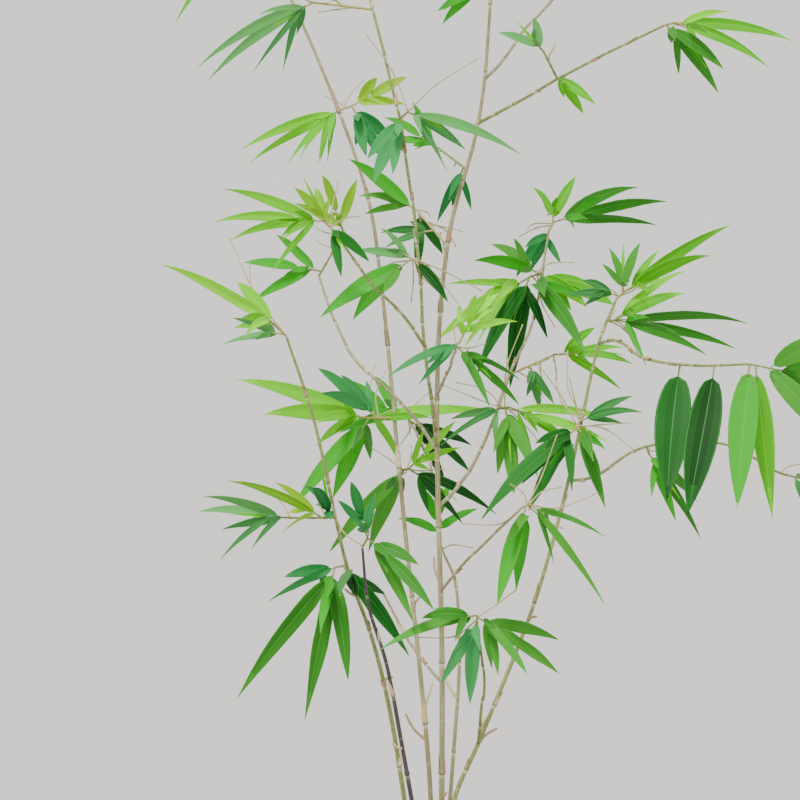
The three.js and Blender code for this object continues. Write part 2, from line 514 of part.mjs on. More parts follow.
// One leaf of a fan, turned until it is free, or nothing
function growLeaf(draw, mass, fan, number, twigRoute, siblings) {
  const share = fan.leaves > 1 ? number / (fan.leaves - 1) : 0;
  const jitter = (draw() - 0.5) * turnSpread;
  const aim = THREE.MathUtils.lerp(fan.turn[0], fan.turn[1], share) + jitter;
  const plainLength = THREE.MathUtils.lerp(fan.long[0], fan.long[fan.long.length - 1], share);
  const shown = plainLength * (1 + lengthSpread * (draw() - 0.5));
  const sideways = Math.abs(2 * share - 1);
  const root = twigRoute.getPoint(0.97 - 0.55 * sideways - (share < 0.5 ? 0.12 : 0));
  for (let n = 0; n < tries; n += 1) {
    const lean = mass.lean * 0.5 + (draw() - 0.5) * (leafLean + leafLeanStep * n);
    const roll = THREE.MathUtils.degToRad((draw() - 0.5) * 2 * (mass.roll ?? leafRoll));
    const droop = leastDroop + droopSpread * draw();
    const rise = THREE.MathUtils.radToDeg(droop) * Math.cos(THREE.MathUtils.degToRad(aim));
    const direction = heading(aim + rise, lean);
    const length = shown / Math.max(leastShown, Math.cos(THREE.MathUtils.degToRad(lean)));
    const flat = new THREE.Vector3().crossVectors(direction, back).normalize();
    const square = new THREE.Vector3().crossVectors(flat, direction);
    const side = flat.clone().multiplyScalar(Math.cos(roll)).addScaledVector(square, Math.sin(roll));
    const face = new THREE.Vector3().crossVectors(direction, side);
    const leaf = { root, direction, side, face, length, width: fan.wide, droop };
    const clearOfOthers = isFree(leafSpots(leaf), taken, keepClear);
    if (clearOfOthers && isFree(leafSpots(leaf, crossFree), siblings, 0)) return leaf;
  }
  return null;
}

// The twig of a fan, leaned until it is free, or nothing
function growTwig(draw, mass, fan, stem) {
  const middle = (fan.turn[0] + fan.turn[1]) / 2;
  const root = stem.getPoint(Math.min(fan.out, 0.97));
  const length = twigStart + leafStep * fan.leaves;
  for (let n = 0; n < tries; n += 1) {
    const out = heading(middle, mass.lean * 0.6 + (draw() - 0.5) * (twigLean + twigLeanStep * n));
    const twig = routeThrough([root, root.clone().addScaledVector(out, length)]);
    const centres = [0.2, 0.4, 0.6, 0.8, 1].map((share) => twig.getPoint(share));
    const spots = centres.map((centre) => ({ centre, radius: twigRadius }));
    if (isFree(spots, taken, keepClear)) return { twig, spots };
  }
  return {};
}

// Foliage: a stem, a twig for each fan, and its leaves, joined into one solid
for (const mass of masses) {
  const draw = drawFrom(mass.seed);
  const carrier = limbs.get(mass.on);
  const along = mass.along ?? (mass.height ? alongAtHeight(carrier.route, mass.height) : 1);
  const direction = heading(mass.aim, mass.lean);
  const base = springFrom(carrier, along, direction, stemRadius);
  const bend = heading(mass.aim, mass.lean + stemBend);
  const places = [
    base,
    base.clone().addScaledVector(direction, mass.reach * 0.5),
    base.clone().addScaledVector(direction, mass.reach * 0.5).addScaledVector(bend, mass.reach * 0.5),
  ];
  const stem = routeThrough(places);
  const stemTaper = (share) => THREE.MathUtils.lerp(stemRadius, stemTipRadius, share);
  let solid = solidOf(tube(stem, stemTaper, 3, 2, false));
  const own = [];
  const blades = [];
  for (const fan of mass.fans) {
    const { twig, spots } = growTwig(draw, mass, fan, stem);
    if (!twig) continue;
    solid = solid.add(solidOf(tube(twig, () => twigRadius, 3, 1, false)));
    own.push(...spots);
    for (let number = 0; number < fan.leaves; number += 1) {
      const leaf = growLeaf(draw, mass, fan, number, twig, blades);
      if (leaf) {
        solid = solid.add(leafSolid(leaf));
        own.push(...leafSpots(leaf));
        blades.push(...leafSpots(leaf, crossFree));
      }
    }
  }
  for (const share of [0.3, 0.6, 1]) own.push({ centre: stem.getPoint(share), radius: stemRadius });
  taken.push(...own);
  if (along < 1) solid = withoutScraps(solid.subtract(carrier.grown));
  addMesh(mass.name, geometryOf(solid), tints[mass.fans[0].tint], 0.55);
}

export default part;
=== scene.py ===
import math

import bpy
import numpy as np
from mathutils.bvhtree import BVHTree
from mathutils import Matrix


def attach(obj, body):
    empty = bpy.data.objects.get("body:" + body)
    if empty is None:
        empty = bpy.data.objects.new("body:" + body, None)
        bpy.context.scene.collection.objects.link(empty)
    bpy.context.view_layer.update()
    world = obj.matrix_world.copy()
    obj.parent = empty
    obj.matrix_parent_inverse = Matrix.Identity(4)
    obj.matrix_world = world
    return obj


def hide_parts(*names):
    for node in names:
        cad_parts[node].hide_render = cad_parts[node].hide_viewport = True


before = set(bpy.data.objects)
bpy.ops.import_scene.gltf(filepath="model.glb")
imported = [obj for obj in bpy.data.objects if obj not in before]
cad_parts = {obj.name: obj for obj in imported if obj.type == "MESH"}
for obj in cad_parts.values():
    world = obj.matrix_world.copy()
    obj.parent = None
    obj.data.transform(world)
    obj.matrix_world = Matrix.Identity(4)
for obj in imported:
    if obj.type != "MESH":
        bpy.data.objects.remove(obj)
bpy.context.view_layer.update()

# The pot: a plain round vessel of fired clay, turned on a wheel and left unglazed.
# Its wall, floor and rim band come from one profile, with faint throwing rings outside and rounded edges.
MM = 0.001
POT_HEIGHT = 200
POT_FOOT_RADIUS = 82
POT_RIM_RADIUS = 110
POT_WALL = 8
POT_FLOOR = 12
RIM_BAND_HEIGHT = 24
RIM_BAND_PROUD = 4
EDGE_ROUND = 2.4
THROWING_RING_PITCH = 6.5
THROWING_RING_DEPTH = 0.22
POT_SEGMENTS = 144
WALL_ROWS = 150
BAND_ROUND = 1.6


def lerp(start, end, share):
    """The value that lies at a share of the way from start to end."""
    return start + (end - start) * share


def arc(centre, radius, first, last, count=7):
    """Points on a circle from one angle in degrees to another: centre plus radius times (cos a, sin a)."""
    angle = np.radians(np.linspace(first, last, count))
    return np.column_stack([centre[0] + radius * np.cos(angle), centre[1] + radius * np.sin(angle)])


def ring_faces(rows, columns, start=0):
    """Quads between each ring and the next one, round a closed grid, counted from start."""
    row, column = np.meshgrid(np.arange(rows - 1), np.arange(columns), indexing="ij")
    after = (column + 1) % columns
    here = row * columns
    above = here + columns
    corners = [here + column, here + after, above + after, above + column]
    return start + np.stack([corner.ravel() for corner in corners], axis=-1)


def cap_faces(ring_start, columns, middle, facing_back):
    """Triangles from one middle point to a ring, turned to face back along the row order or forward."""
    here = ring_start + np.arange(columns)
    after = ring_start + (np.arange(columns) + 1) % columns
    first, second = (after, here) if facing_back else (here, after)
    return np.stack([first, second, np.full(columns, middle)], axis=-1)


def closed_rings(rings, ends, start=0):
    """A stack of rings closed by a point at either end, as places and blocks of faces counted from start."""
    rows, sides = rings.shape[:2]
    foot = cap_faces(start, sides, start + rows * sides, True)
    head = cap_faces(start + (rows - 1) * sides, sides, start + rows * sides + 1, False)
    return np.vstack([rings.reshape(-1, 3), ends]), [ring_faces(rows, sides, start), foot, head]


def turned_solid(profile, segments):
    """A profile from axis to axis carried round it: across is the radius times the cosine of the angle,
    back is the radius times its sine, and the height is the profile's own."""
    profile = np.asarray(profile, float)
    angle = np.linspace(0, 2 * np.pi, segments, endpoint=False)
    radius, height = profile[1:-1].T
    rings = np.stack([radius[:, None] * np.cos(angle), radius[:, None] * np.sin(angle),
                      np.broadcast_to(height[:, None], (len(radius), segments))], axis=-1)
    return closed_rings(rings, [[0, 0, profile[0, 1]], [0, 0, profile[-1, 1]]])


def face_lists(blocks):
    """All faces of several blocks, one after the other, as plain lists of corner numbers."""
    return [face for block in blocks for face in block.tolist()]


def make_piece(name, places, faces, finishes, finish_of_face=None):
    """A smooth piece from places in metres and blocks of faces, with one finish number for each face."""
    mesh = bpy.data.meshes.new(name)
    mesh.from_pydata(np.asarray(places).tolist(), [], face_lists(faces))
    for finish in finishes:
        mesh.materials.append(finish)
    if finish_of_face is not None:
        mesh.polygons.foreach_set("material_index", np.asarray(finish_of_face, np.int32))
    mesh.polygons.foreach_set("use_smooth", np.ones(len(mesh.polygons), bool))
    mesh.update()
    piece = bpy.data.objects.new(name, mesh)
    bpy.context.scene.collection.objects.link(piece)
    return piece


def colour(code):
    """A colour from its six-figure web code, made linear: ((c + 0.055) / 1.055) to the power 2.4."""
    shares = [int(code[k:k + 2], 16) / 255 for k in (0, 2, 4)]
    return tuple(((c + 0.055) / 1.055) ** 2.4 if c > 0.04045 else c / 12.92 for c in shares) + (1.0,)


def finish_with_nodes(name):
    """A new material, its node tree and its main shader."""
    material = bpy.data.materials.new(name)
    material.use_nodes = True
    return material, material.node_tree, material.node_tree.nodes["Principled BSDF"]


def noise(tree, place, scale, detail=4.0, roughness=0.55):
    """A noise pattern at a scale per metre on the given coordinates."""
    node = tree.nodes.new("ShaderNodeTexNoise")
    node.inputs["Scale"].default_value = scale
    node.inputs["Detail"].default_value = detail
    node.inputs["Roughness"].default_value = roughness
    tree.links.new(place, node.inputs["Vector"])
    return node.outputs["Fac"]


def ramp(tree, value, stops):
    """A colour ramp through (share, colour) stops."""
    node = tree.nodes.new("ShaderNodeValToRGB")
    node.color_ramp.elements[0].position = stops[0][0]
    node.color_ramp.elements[0].color = stops[0][1]
    node.color_ramp.elements[1].position = stops[-1][0]
    node.color_ramp.elements[1].color = stops[-1][1]
    for share, shade in stops[1:-1]:
        node.color_ramp.elements.new(share).color = shade
    tree.links.new(value, node.inputs["Fac"])
    return node.outputs["Color"]


def mask(tree, value, *stops):
    """A ramp between black and white through (share, 0 for black or 1 for white) stops."""
    return ramp(tree, value, [(share, (grey, grey, grey, 1)) for share, grey in stops])


def spread(tree, value, low, high):
    """A value from 0 to 1 laid out between low and high: low plus the value times their difference."""
    node = tree.nodes.new("ShaderNodeMapRange")
    node.inputs["To Min"].default_value = low
    node.inputs["To Max"].default_value = high
    tree.links.new(value, node.inputs["Value"])
    return node.outputs["Result"]


def blend(tree, amount, first, second):
    """Two colours mixed: the first times what is left of 1, plus the second times the amount."""
    node = tree.nodes.new("ShaderNodeMix")
    node.data_type = "RGBA"
    for name, value in (("Factor", amount), ("A", first), ("B", second)):
        socket = node.inputs[name]
        if isinstance(value, tuple):
            socket.default_value = value
        else:
            tree.links.new(value, socket)
    return node.outputs["Result"]


def bump(tree, shader, height, distance):
    """Relief from a height pattern: the pattern times the distance in metres."""
    node = tree.nodes.new("ShaderNodeBump")
    node.inputs["Distance"].default_value = distance
    node.inputs["Strength"].default_value = 1.0
    tree.links.new(height, node.inputs["Height"])
    tree.links.new(node.outputs["Normal"], shader.inputs["Normal"])


def stretched_place(tree, scale):
    """Object coordinates scaled by one factor for each axis, which stretches a pattern along the others."""
    coordinates = tree.nodes.new("ShaderNodeTexCoord")
    mapping = tree.nodes.new("ShaderNodeMapping")
    mapping.inputs["Scale"].default_value = scale
    tree.links.new(coordinates.outputs["Object"], mapping.inputs["Vector"])
    return mapping.outputs["Vector"]


def clay_finish():
    """Unglazed fired clay: dark brown body, paler mineral bloom in patches, fine dark grit and a dry face."""
    material, tree, shader = finish_with_nodes("fired_clay")
    place = stretched_place(tree, (1, 1, 1))
    bands = stretched_place(tree, (1, 1, 7))
    body = ramp(tree, noise(tree, bands, 9, 5),
                [(0.3, colour("54402f")), (0.55, colour("6b5140")), (0.8, colour("7d6452"))])
    bloom = mask(tree, noise(tree, place, 26, 6, 0.7), (0.56, 0), (0.78, 1))
    grit = mask(tree, noise(tree, place, 900, 2), (0.36, 1), (0.42, 0))
    dusty = blend(tree, spread(tree, bloom, 0.0, 0.45), body, colour("a8917a"))
    gritty = blend(tree, spread(tree, grit, 0.0, 0.5), dusty, colour("33261d"))
    tree.links.new(gritty, shader.inputs["Base Color"])
    tree.links.new(spread(tree, noise(tree, place, 60), 0.66, 0.9), shader.inputs["Roughness"])
    bump(tree, shader, noise(tree, place, 420, 5, 0.65), 0.0004)
    return material


band_foot = POT_HEIGHT - RIM_BAND_HEIGHT
wall_slope = (POT_RIM_RADIUS - RIM_BAND_PROUD - POT_FOOT_RADIUS) / band_foot
wall_height = np.linspace(EDGE_ROUND + 1, band_foot - 0.6, WALL_ROWS)
throwing = THROWING_RING_DEPTH * (np.sin(2 * np.pi * wall_height / THROWING_RING_PITCH) - 1)
outer_wall = np.column_stack([POT_FOOT_RADIUS + wall_slope * wall_height + throwing, wall_height])
inner_rim = POT_RIM_RADIUS - POT_WALL - RIM_BAND_PROUD
inner_foot = POT_FOOT_RADIUS - POT_WALL
pot_profile = np.vstack([
    [[0, 0], [POT_FOOT_RADIUS - 6, 0]],
    arc((POT_FOOT_RADIUS - EDGE_ROUND, EDGE_ROUND), EDGE_ROUND, -90, 0),
    outer_wall,
    arc((POT_RIM_RADIUS - BAND_ROUND, band_foot + BAND_ROUND), BAND_ROUND, -90, 0),
    arc((POT_RIM_RADIUS - EDGE_ROUND, POT_HEIGHT - EDGE_ROUND), EDGE_ROUND, 0, 90),
    arc((inner_rim + EDGE_ROUND, POT_HEIGHT - EDGE_ROUND), EDGE_ROUND, 90, 180),
    [[lerp(inner_foot, inner_rim, k), lerp(POT_FLOOR, POT_HEIGHT, k)] for k in (0.93, 0.86, 0.5, 0.1)],
    [[inner_foot - 2, POT_FLOOR], [0, POT_FLOOR]],
])
pot_places, pot_faces = turned_solid(pot_profile * MM, POT_SEGMENTS)
pot = make_piece("clay_pot", pot_places, pot_faces, [clay_finish()])
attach(pot, "root")
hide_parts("pot")

# The soil: moist dark potting soil that fills the pot to just under its rim, heaped a little at the middle.
# Loose crumbs of several browns lie on it, pressed half in.
SEAT_GAP = 0.3
SOIL_TOP = 185
SOIL_EDGE_DROP = 4
SOIL_RELIEF = 1.6
HILL_SHARE = 0.8
SOIL_COLUMNS = 120
SOIL_ROWS = 45
WALL_GAP = 0.7
CRUMB_COUNT = 1500
CRUMB_SIZES = (0.9, 3.0)
CRUMB_REACH = 0.985
CRUMB_RISE = 0.15
CRUMB_DENTS = (0.65, 1.15)
CRUMB_FLATNESS = (0.6, 1.0)
CRUMB_SHADES = (("crumb_dark", "241a13", 0.5), ("crumb_brown", "3f2e20", 0.38),
                ("crumb_pale", "6b543d", 0.12))


def smooth_hills(x, y, wavelength, seed):
    """Soft hills between 0 and 1: the mean of eight sine waves, each in its own direction and phase."""
    waves = np.random.default_rng(seed)
    angle = waves.uniform(0, 2 * np.pi, 8)
    phase = waves.uniform(0, 2 * np.pi, 8)
    length = wavelength * waves.uniform(0.6, 1.6, 8)
    across = x[..., None] * np.cos(angle) + y[..., None] * np.sin(angle)
    return 0.5 + 0.5 * np.sin(2 * np.pi * across / length + phase).mean(axis=-1)


def soil_height(x, y):
    """The soil's surface in mm: the heap falls with the square of the radius, less hills of three sizes."""
    heap = SOIL_TOP - SOIL_EDGE_DROP * (np.hypot(x, y) / soil_rim) ** 2
    hills = smooth_hills(x, y, 40, 1) + 0.6 * smooth_hills(x, y, 15, 2) + 0.4 * smooth_hills(x, y, 6, 3)
    return heap - SOIL_RELIEF * (HILL_SHARE * hills)


def soil_finish():
    """Potting soil: near-black brown with paler brown flecks, rough and matt, with fine grain relief."""
    material, tree, shader = finish_with_nodes("potting_soil")
    place = stretched_place(tree, (1, 1, 1))
    base = ramp(tree, noise(tree, place, 120, 6, 0.7),
                [(0.3, colour("1f1712")), (0.5, colour("33261c")), (0.72, colour("4d3a2a"))])
    flecks = mask(tree, noise(tree, place, 700, 2), (0.62, 0), (0.7, 1))
    flecked = blend(tree, spread(tree, flecks, 0.0, 0.6), base, colour("7a6248"))
    tree.links.new(flecked, shader.inputs["Base Color"])
    tree.links.new(spread(tree, noise(tree, place, 200), 0.82, 1.0), shader.inputs["Roughness"])
    bump(tree, shader, noise(tree, place, 600, 6, 0.75), 0.0012)
    return material


rim_share = (SOIL_TOP - SOIL_EDGE_DROP - POT_FLOOR) / (POT_HEIGHT - POT_FLOOR)
soil_rim = lerp(inner_foot, inner_rim, rim_share) - WALL_GAP
soil_foot = inner_foot - WALL_GAP
soil_angle = np.linspace(0, 2 * np.pi, SOIL_COLUMNS, endpoint=False)
soil_radii = soil_rim * np.linspace(1, 0, SOIL_ROWS + 1)[:-1]
grid_x = soil_radii[:, None] * np.cos(soil_angle)
grid_y = soil_radii[:, None] * np.sin(soil_angle)
surface = np.stack([grid_x, grid_y, soil_height(grid_x, grid_y)], axis=-1)
foot_ring = np.stack([soil_foot * np.cos(soil_angle), soil_foot * np.sin(soil_angle),
                      np.full(SOIL_COLUMNS, POT_FLOOR + SEAT_GAP)], axis=-1)
soil_rings = np.vstack([foot_ring[None], surface])
soil_middle = [[0, 0, POT_FLOOR + SEAT_GAP], [0, 0, float(soil_height(np.zeros(1), np.zeros(1))[0])]]
soil_places, soil_faces = closed_rings(soil_rings, soil_middle)
soil = make_piece("soil_fill", soil_places * MM, soil_faces, [soil_finish()])
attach(soil, "root")
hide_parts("soil")

# A crumb is a lump of twelve corners and twenty faces, each corner pushed in or out.
crumb_rng = np.random.default_rng(20)
golden = (1 + 5 ** 0.5) / 2
lump = np.array([[across, up * golden, 0] for across in (-1, 1) for up in (-1, 1)])
lump = np.vstack([lump, lump[:, [2, 0, 1]], lump[:, [1, 2, 0]]]) / np.hypot(1, golden)
edge = 2 / np.hypot(1, golden)
near = np.abs(np.linalg.norm(lump[:, None] - lump[None], axis=-1) - edge) < 0.01
lump_faces = np.array([[a, b, c] for a in range(12) for b in range(a + 1, 12) for c in range(b + 1, 12)
                       if near[a, b] and near[b, c] and near[a, c]])
first, second, third = (lump[lump_faces[:, k]] for k in range(3))
faces_in = (np.cross(second - first, third - first) * first).sum(axis=1) < 0
lump_faces[faces_in] = lump_faces[faces_in][:, ::-1]
crumb_radius = soil_rim * CRUMB_REACH * np.sqrt(crumb_rng.uniform(0, 1, CRUMB_COUNT))
crumb_angle = crumb_rng.uniform(0, 2 * np.pi, CRUMB_COUNT)
crumb_x = crumb_radius * np.cos(crumb_angle)
crumb_y = crumb_radius * np.sin(crumb_angle)
crumb_size = lerp(*CRUMB_SIZES, crumb_rng.uniform(0, 1, CRUMB_COUNT) ** 3)
crumb_z = soil_height(crumb_x, crumb_y) + CRUMB_RISE * crumb_size
crumbs = lump[None] * crumb_rng.uniform(*CRUMB_DENTS, (CRUMB_COUNT, 12, 1)) * crumb_size[:, None, None]
crumbs = crumbs * crumb_rng.uniform(*CRUMB_FLATNESS, (CRUMB_COUNT, 1, 3))
crumbs = crumbs + np.stack([crumb_x, crumb_y, crumb_z], axis=-1)[:, None]
crumb_finishes = []
for shade_name, shade, _ in CRUMB_SHADES:
    crumb_material, _, crumb_shader = finish_with_nodes(shade_name)
    crumb_shader.inputs["Base Color"].default_value = colour(shade)
    crumb_shader.inputs["Roughness"].default_value = 0.92
    crumb_finishes.append(crumb_material)
crumb_faces = (lump_faces[None] + 12 * np.arange(CRUMB_COUNT)[:, None, None]).reshape(-1, 3)
crumb_pick = crumb_rng.choice(len(CRUMB_SHADES), CRUMB_COUNT, p=[chance for _, _, chance in CRUMB_SHADES])
soil_crumbs = make_piece("soil_crumbs", crumbs.reshape(-1, 3) * MM, [crumb_faces], crumb_finishes,
                         np.repeat(crumb_pick, len(lump_faces)))
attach(soil_crumbs, "root")

# The canes: slender bamboo stems that rise from the soil and taper to their tips.
# Each has a ridge and a sheath scar at every node, a waxy ring under it, and one faint groove all along.
# Each row is the radius at the foot, the number of internodes, the finish, and the places it runs through.
DEPTH_SPREAD = 1.35
NODE_SWELL = 0.2
FOOT_FLARE = 1.0
FLARE_HEIGHT = 18
CANE_SIDES = 20
NODE_ROWS = np.array([-12, -8, -5, -3.2, -2.2, -1.5, -1.0, -0.6, -0.2,
                      0.2, 0.6, 1.0, 1.6, 2.4, 3.4, 5, 8, 12])
PLAIN_STEP = 9
CANE_GROOVE = 0.05
CANE_TIP = 1.3
ZIGZAG_HEADING = np.array([0.8, 0.6, 0.0])
DISTANCE_SPAN = 30

CANES = {
    "cane_main": (3.0, 12, "straw", [
        [1, 0], [2, 2, 402], [-3, 4, 665], [8, 2, 823], [38, -4, 941], [50, -10, 1060], [60, -4, 1300]]),
    "cane_pale": (2.6, 11, "straw", [
        [-6, 32], [-13, 40, 321], [-37, 56, 554], [-58, 78, 772], [-79, 92, 893], [-147, 112, 1065],
        [-190, 122, 1130]]),
    "cane_left": (2.5, 7, "olive", [
        [-24, 6], [-47, -14, 338], [-67, -30, 425], [-94, -44, 505], [-124, -58, 640], [-152, -72, 727]]),
    "cane_black": (2.5, 5, "dark", [
        [-14, -20], [-37, -40, 316], [-53, -60, 402], [-71, -84, 462], [-77, -98, 519]]),
    "cane_short": (2.2, 4, "straw", [
        [4, 30], [14, 44, 310], [20, 62, 400], [17, 78, 475], [5, 88, 508]]),
    "cane_right": (2.6, 8, "olive", [
        [-2, -28], [14, -34, 268], [42, -30, 333], [94, -8, 462], [129, 14, 585], [158, 30, 715],
        [177, 36, 765]]),
}

UP = np.array([0.0, 0.0, 1.0])
BACK = np.array([0.0, 1.0, 0.0])


def unit(vectors):
    """Vectors cut to length 1."""
    return vectors / np.linalg.norm(vectors, axis=-1, keepdims=True)


def route_terms(places, share):
    """The cubic of the stretch that each share falls in, as its place, slope, square and cube terms, and how
    far along the stretch it is. The slope at either end is half the step between that end's neighbours."""
    places = np.asarray(places, float)
    ends = np.vstack([2 * places[0] - places[1], places, 2 * places[-1] - places[-2]])
    way = np.clip(np.asarray(share, float), 0, 1) * (len(places) - 1)
    index = np.minimum(way.astype(int), len(places) - 2)
    before, start, end, after = (ends[index + k] for k in range(4))
    leave = (end - before) / 2
    arrive = (after - start) / 2
    square = 3 * (end - start) - 2 * leave - arrive
    cube = 2 * (start - end) + leave + arrive
    return start, leave, square, cube, (way - index)[..., None]


def route_place(places, share):
    """A smooth route through some places: each stretch's cubic at its share."""
    start, leave, square, cube, w = route_terms(places, share)
    return start + leave * w + square * w ** 2 + cube * w ** 3


def route_heading(places, share):
    """The unit slope of the same route: the cubic's first derivative, cut to length 1."""
    _, leave, square, cube, w = route_terms(places, share)
    return unit(leave + 2 * square * w + 3 * cube * w ** 2)


def route_lengths(places, divisions=200):
    """Shares along a route and the length in mm up to each, as the sum of short chords."""
    share = np.linspace(0, 1, divisions + 1)
    steps = np.linalg.norm(np.diff(route_place(places, share), axis=0), axis=1)
    return share, np.concatenate([[0], np.cumsum(steps)])


def spread_place(place):
    """A place in the clump, its depth spread by the same share everywhere."""
    return [place[0], place[1] * DEPTH_SPREAD, place[2]]


def limb_rings(places, share, radius, sides, level_foot=False):
    """Rings square to a route: its place plus the radius times side by cosine and across by sine. The
    radius has one value for each row, or one for each corner. The first ring is level at a cut foot."""
    forward = route_heading(places, share)
    if level_foot:
        forward[0] = UP
    side = unit(np.cross(forward, BACK))
    across = np.cross(forward, side)
    angle = np.linspace(0, 2 * np.pi, sides, endpoint=False)
    ring = side[:, None] * np.cos(angle)[:, None] + across[:, None] * np.sin(angle)[:, None]
    radius = radius.reshape(len(share), -1)
    return route_place(places, share)[:, None] + ring * radius[..., None]


def ring_solid(rings, start=0):
    """A stack of rings closed at the mean of its first ring and of its last."""
    return closed_rings(rings, np.stack([rings[0].mean(axis=0), rings[-1].mean(axis=0)]), start)


def joined_solids(parts):
    """Closed stacks of rings from pairs of rings and a finish number, as one mesh: places in metres,
    blocks of faces, and the finish number of each face."""
    places = []
    faces = []
    finish = []
    start = 0
    for rings, number in parts:
        some_places, some_faces = ring_solid(rings, start)
        places.append(some_places)
        faces.extend(some_faces)
        finish.append(np.full(sum(len(block) for block in some_faces), number))
        start += len(some_places)
    return np.vstack(places) * MM, faces, np.concatenate(finish)


def node_relief(distance):
    """Height of a node as a share of the radius, by distance in mm: a ridge above, a thin scar flange
    at 0 and a hollow ring just under it, each a bell curve."""
    ridge = NODE_SWELL * np.exp(-((distance - 1.9) / 1.5) ** 2)
    flange = 0.24 * np.exp(-(distance / 0.42) ** 2)
    hollow = -0.07 * np.exp(-((distance + 1.6) / 0.8) ** 2)
    return ridge + flange + hollow


def nearest_node(length, node_lengths):
    """Signed distance in mm from each length to the node nearest to it."""
    gap = length[:, None] - node_lengths[None]
    pick = np.abs(gap).argmin(axis=1)
    return gap[np.arange(len(length)), pick]


def noded_limb(places, node_shares, taper, sides, level_foot, groove):
    """A limb's rings and, for each ring, its distance to the nearest node. Rows crowd at the nodes."""
    share, length = route_lengths(places, 600)
    node_lengths = np.interp(node_shares, share, length)
    plain = np.arange(0, length[-1], PLAIN_STEP)
    rows = np.unique(np.concatenate([[0, length[-1]], plain, (node_lengths[:, None] + NODE_ROWS).ravel()]))
    rows = rows[(rows >= 0) & (rows <= length[-1])]
    rows = rows[np.concatenate([[True], np.diff(rows) > 0.15])]
    row_share = np.interp(rows, length, share)
    row_share[-1] = 1
    distance = nearest_node(rows, node_lengths)
    angle = np.linspace(0, 2 * np.pi, sides, endpoint=False)
    flute = 1 - groove * np.maximum(0, np.cos(angle - 0.9)) ** 6
    radius = (taper(row_share) * (1 + node_relief(distance)))[:, None] * flute
    return limb_rings(places, row_share, radius, sides, level_foot), distance


def cane_finish(name, body, streak, shade, ring, wear):
    """Bamboo skin: a body colour with long paler streaks and darker stains, a pale waxy band under each
    node, a dark line at the sheath scar, and a satin surface with fine grain along the cane."""
    material, tree, shader = finish_with_nodes("cane_" + name)
    grain = stretched_place(tree, (1, 1, 0.06))
    place = stretched_place(tree, (1, 1, 0.5))
    skin = ramp(tree, noise(tree, grain, 900, 4, 0.6),
                [(0.3, colour(shade)), (0.5, colour(body)), (0.72, colour(streak))])
    stain = mask(tree, noise(tree, place, 45, 5, 0.65), (0.5, 0), (0.75, 1))
    stained = blend(tree, spread(tree, stain, 0.0, wear), skin, colour(shade))
    attribute = tree.nodes.new("ShaderNodeAttribute")
    attribute.attribute_name = "node_distance"
    along = attribute.outputs["Fac"]
    wax = mask(tree, along, (0.0, 0), (0.3, 0), (0.46, 1), (0.49, 0))
    scar = mask(tree, along, (0.485, 0), (0.5, 1), (0.53, 0), (1.0, 0))
    waxed = blend(tree, spread(tree, wax, 0.0, 0.75), stained, colour(ring))
    scarred = blend(tree, spread(tree, scar, 0.0, 0.8), waxed, colour("4a3a28"))
    tree.links.new(scarred, shader.inputs["Base Color"])
    tree.links.new(spread(tree, noise(tree, place, 140), 0.34, 0.56), shader.inputs["Roughness"])
    shader.inputs["Coat Weight"].default_value = 0.12
    shader.inputs["Coat Roughness"].default_value = 0.35
    bump(tree, shader, noise(tree, grain, 1400, 3), 0.00012)
    return material


CANE_FINISHES = {
    "straw": cane_finish("straw", body="958a61", streak="b1a782", shade="6c693b", ring="c9c2ac", wear=0.6),
    "olive": cane_finish("olive", body="808742", streak="a6a862", shade="566028", ring="c4c69a", wear=0.5),
    "dark": cane_finish("dark", body="3b3132", streak="5b4f46", shade="1d171b", ring="8e8474", wear=0.7),
}


def store_distance(piece, values):
    """Keeps each place's distance from its node on the mesh: a half plus the distance over its span."""
    attribute = piece.data.attributes.new("node_distance", "FLOAT", "POINT")
    share = np.clip(0.5 + np.asarray(values) / DISTANCE_SPAN, 0, 1)
    attribute.data.foreach_set("value", share.astype(np.float32))


limbs = {}
limb_trees = []
taken_centres = []
taken_radii = []


def take_limb(places, radius_at):
    """Marks the room that a limb takes, as balls of its own radius every 3 mm along its route."""
    count = math.ceil(route_lengths(places)[1][-1] / 3)
    share = np.arange(count + 1) / count
    taken_centres.append(route_place(places, share))
    taken_radii.append(radius_at(share))


def face_tree(places, blocks):
    """The faces of a mesh, ordered so that two meshes can quickly be tested for crossings."""
    return BVHTree.FromPolygons(places.tolist(), face_lists(blocks))


def limb_piece(name, places, radius_at, internodes, sides, finish, level_foot, groove, zigzag):
    """A cane or bough: rings round its route with a node after each internode. They are moved to the side
    by the zigzag in mm, times a sine that turns with each internode, times one over the whole way."""
    limbs[name] = dict(places=places, radius=radius_at, internodes=internodes)
    take_limb(places, radius_at)
    node_shares = np.arange(1, internodes) / internodes
    rings, distance = noded_limb(places, node_shares, radius_at, sides, level_foot, groove)
    share = np.linspace(0, 1, len(rings))
    sway = zigzag * np.sin(np.pi * internodes * share) * np.sin(np.pi * share)
    limb_places, limb_faces = ring_solid(rings + sway[:, None, None] * ZIGZAG_HEADING)
    limb_trees.append(face_tree(limb_places, limb_faces))
    piece = make_piece(name + ("_stem" if level_foot else "_limb"), limb_places * MM, limb_faces,
                       [CANE_FINISHES[finish]])
    store_distance(piece, np.concatenate([np.repeat(distance, sides), distance[[0, -1]]]))
    return piece


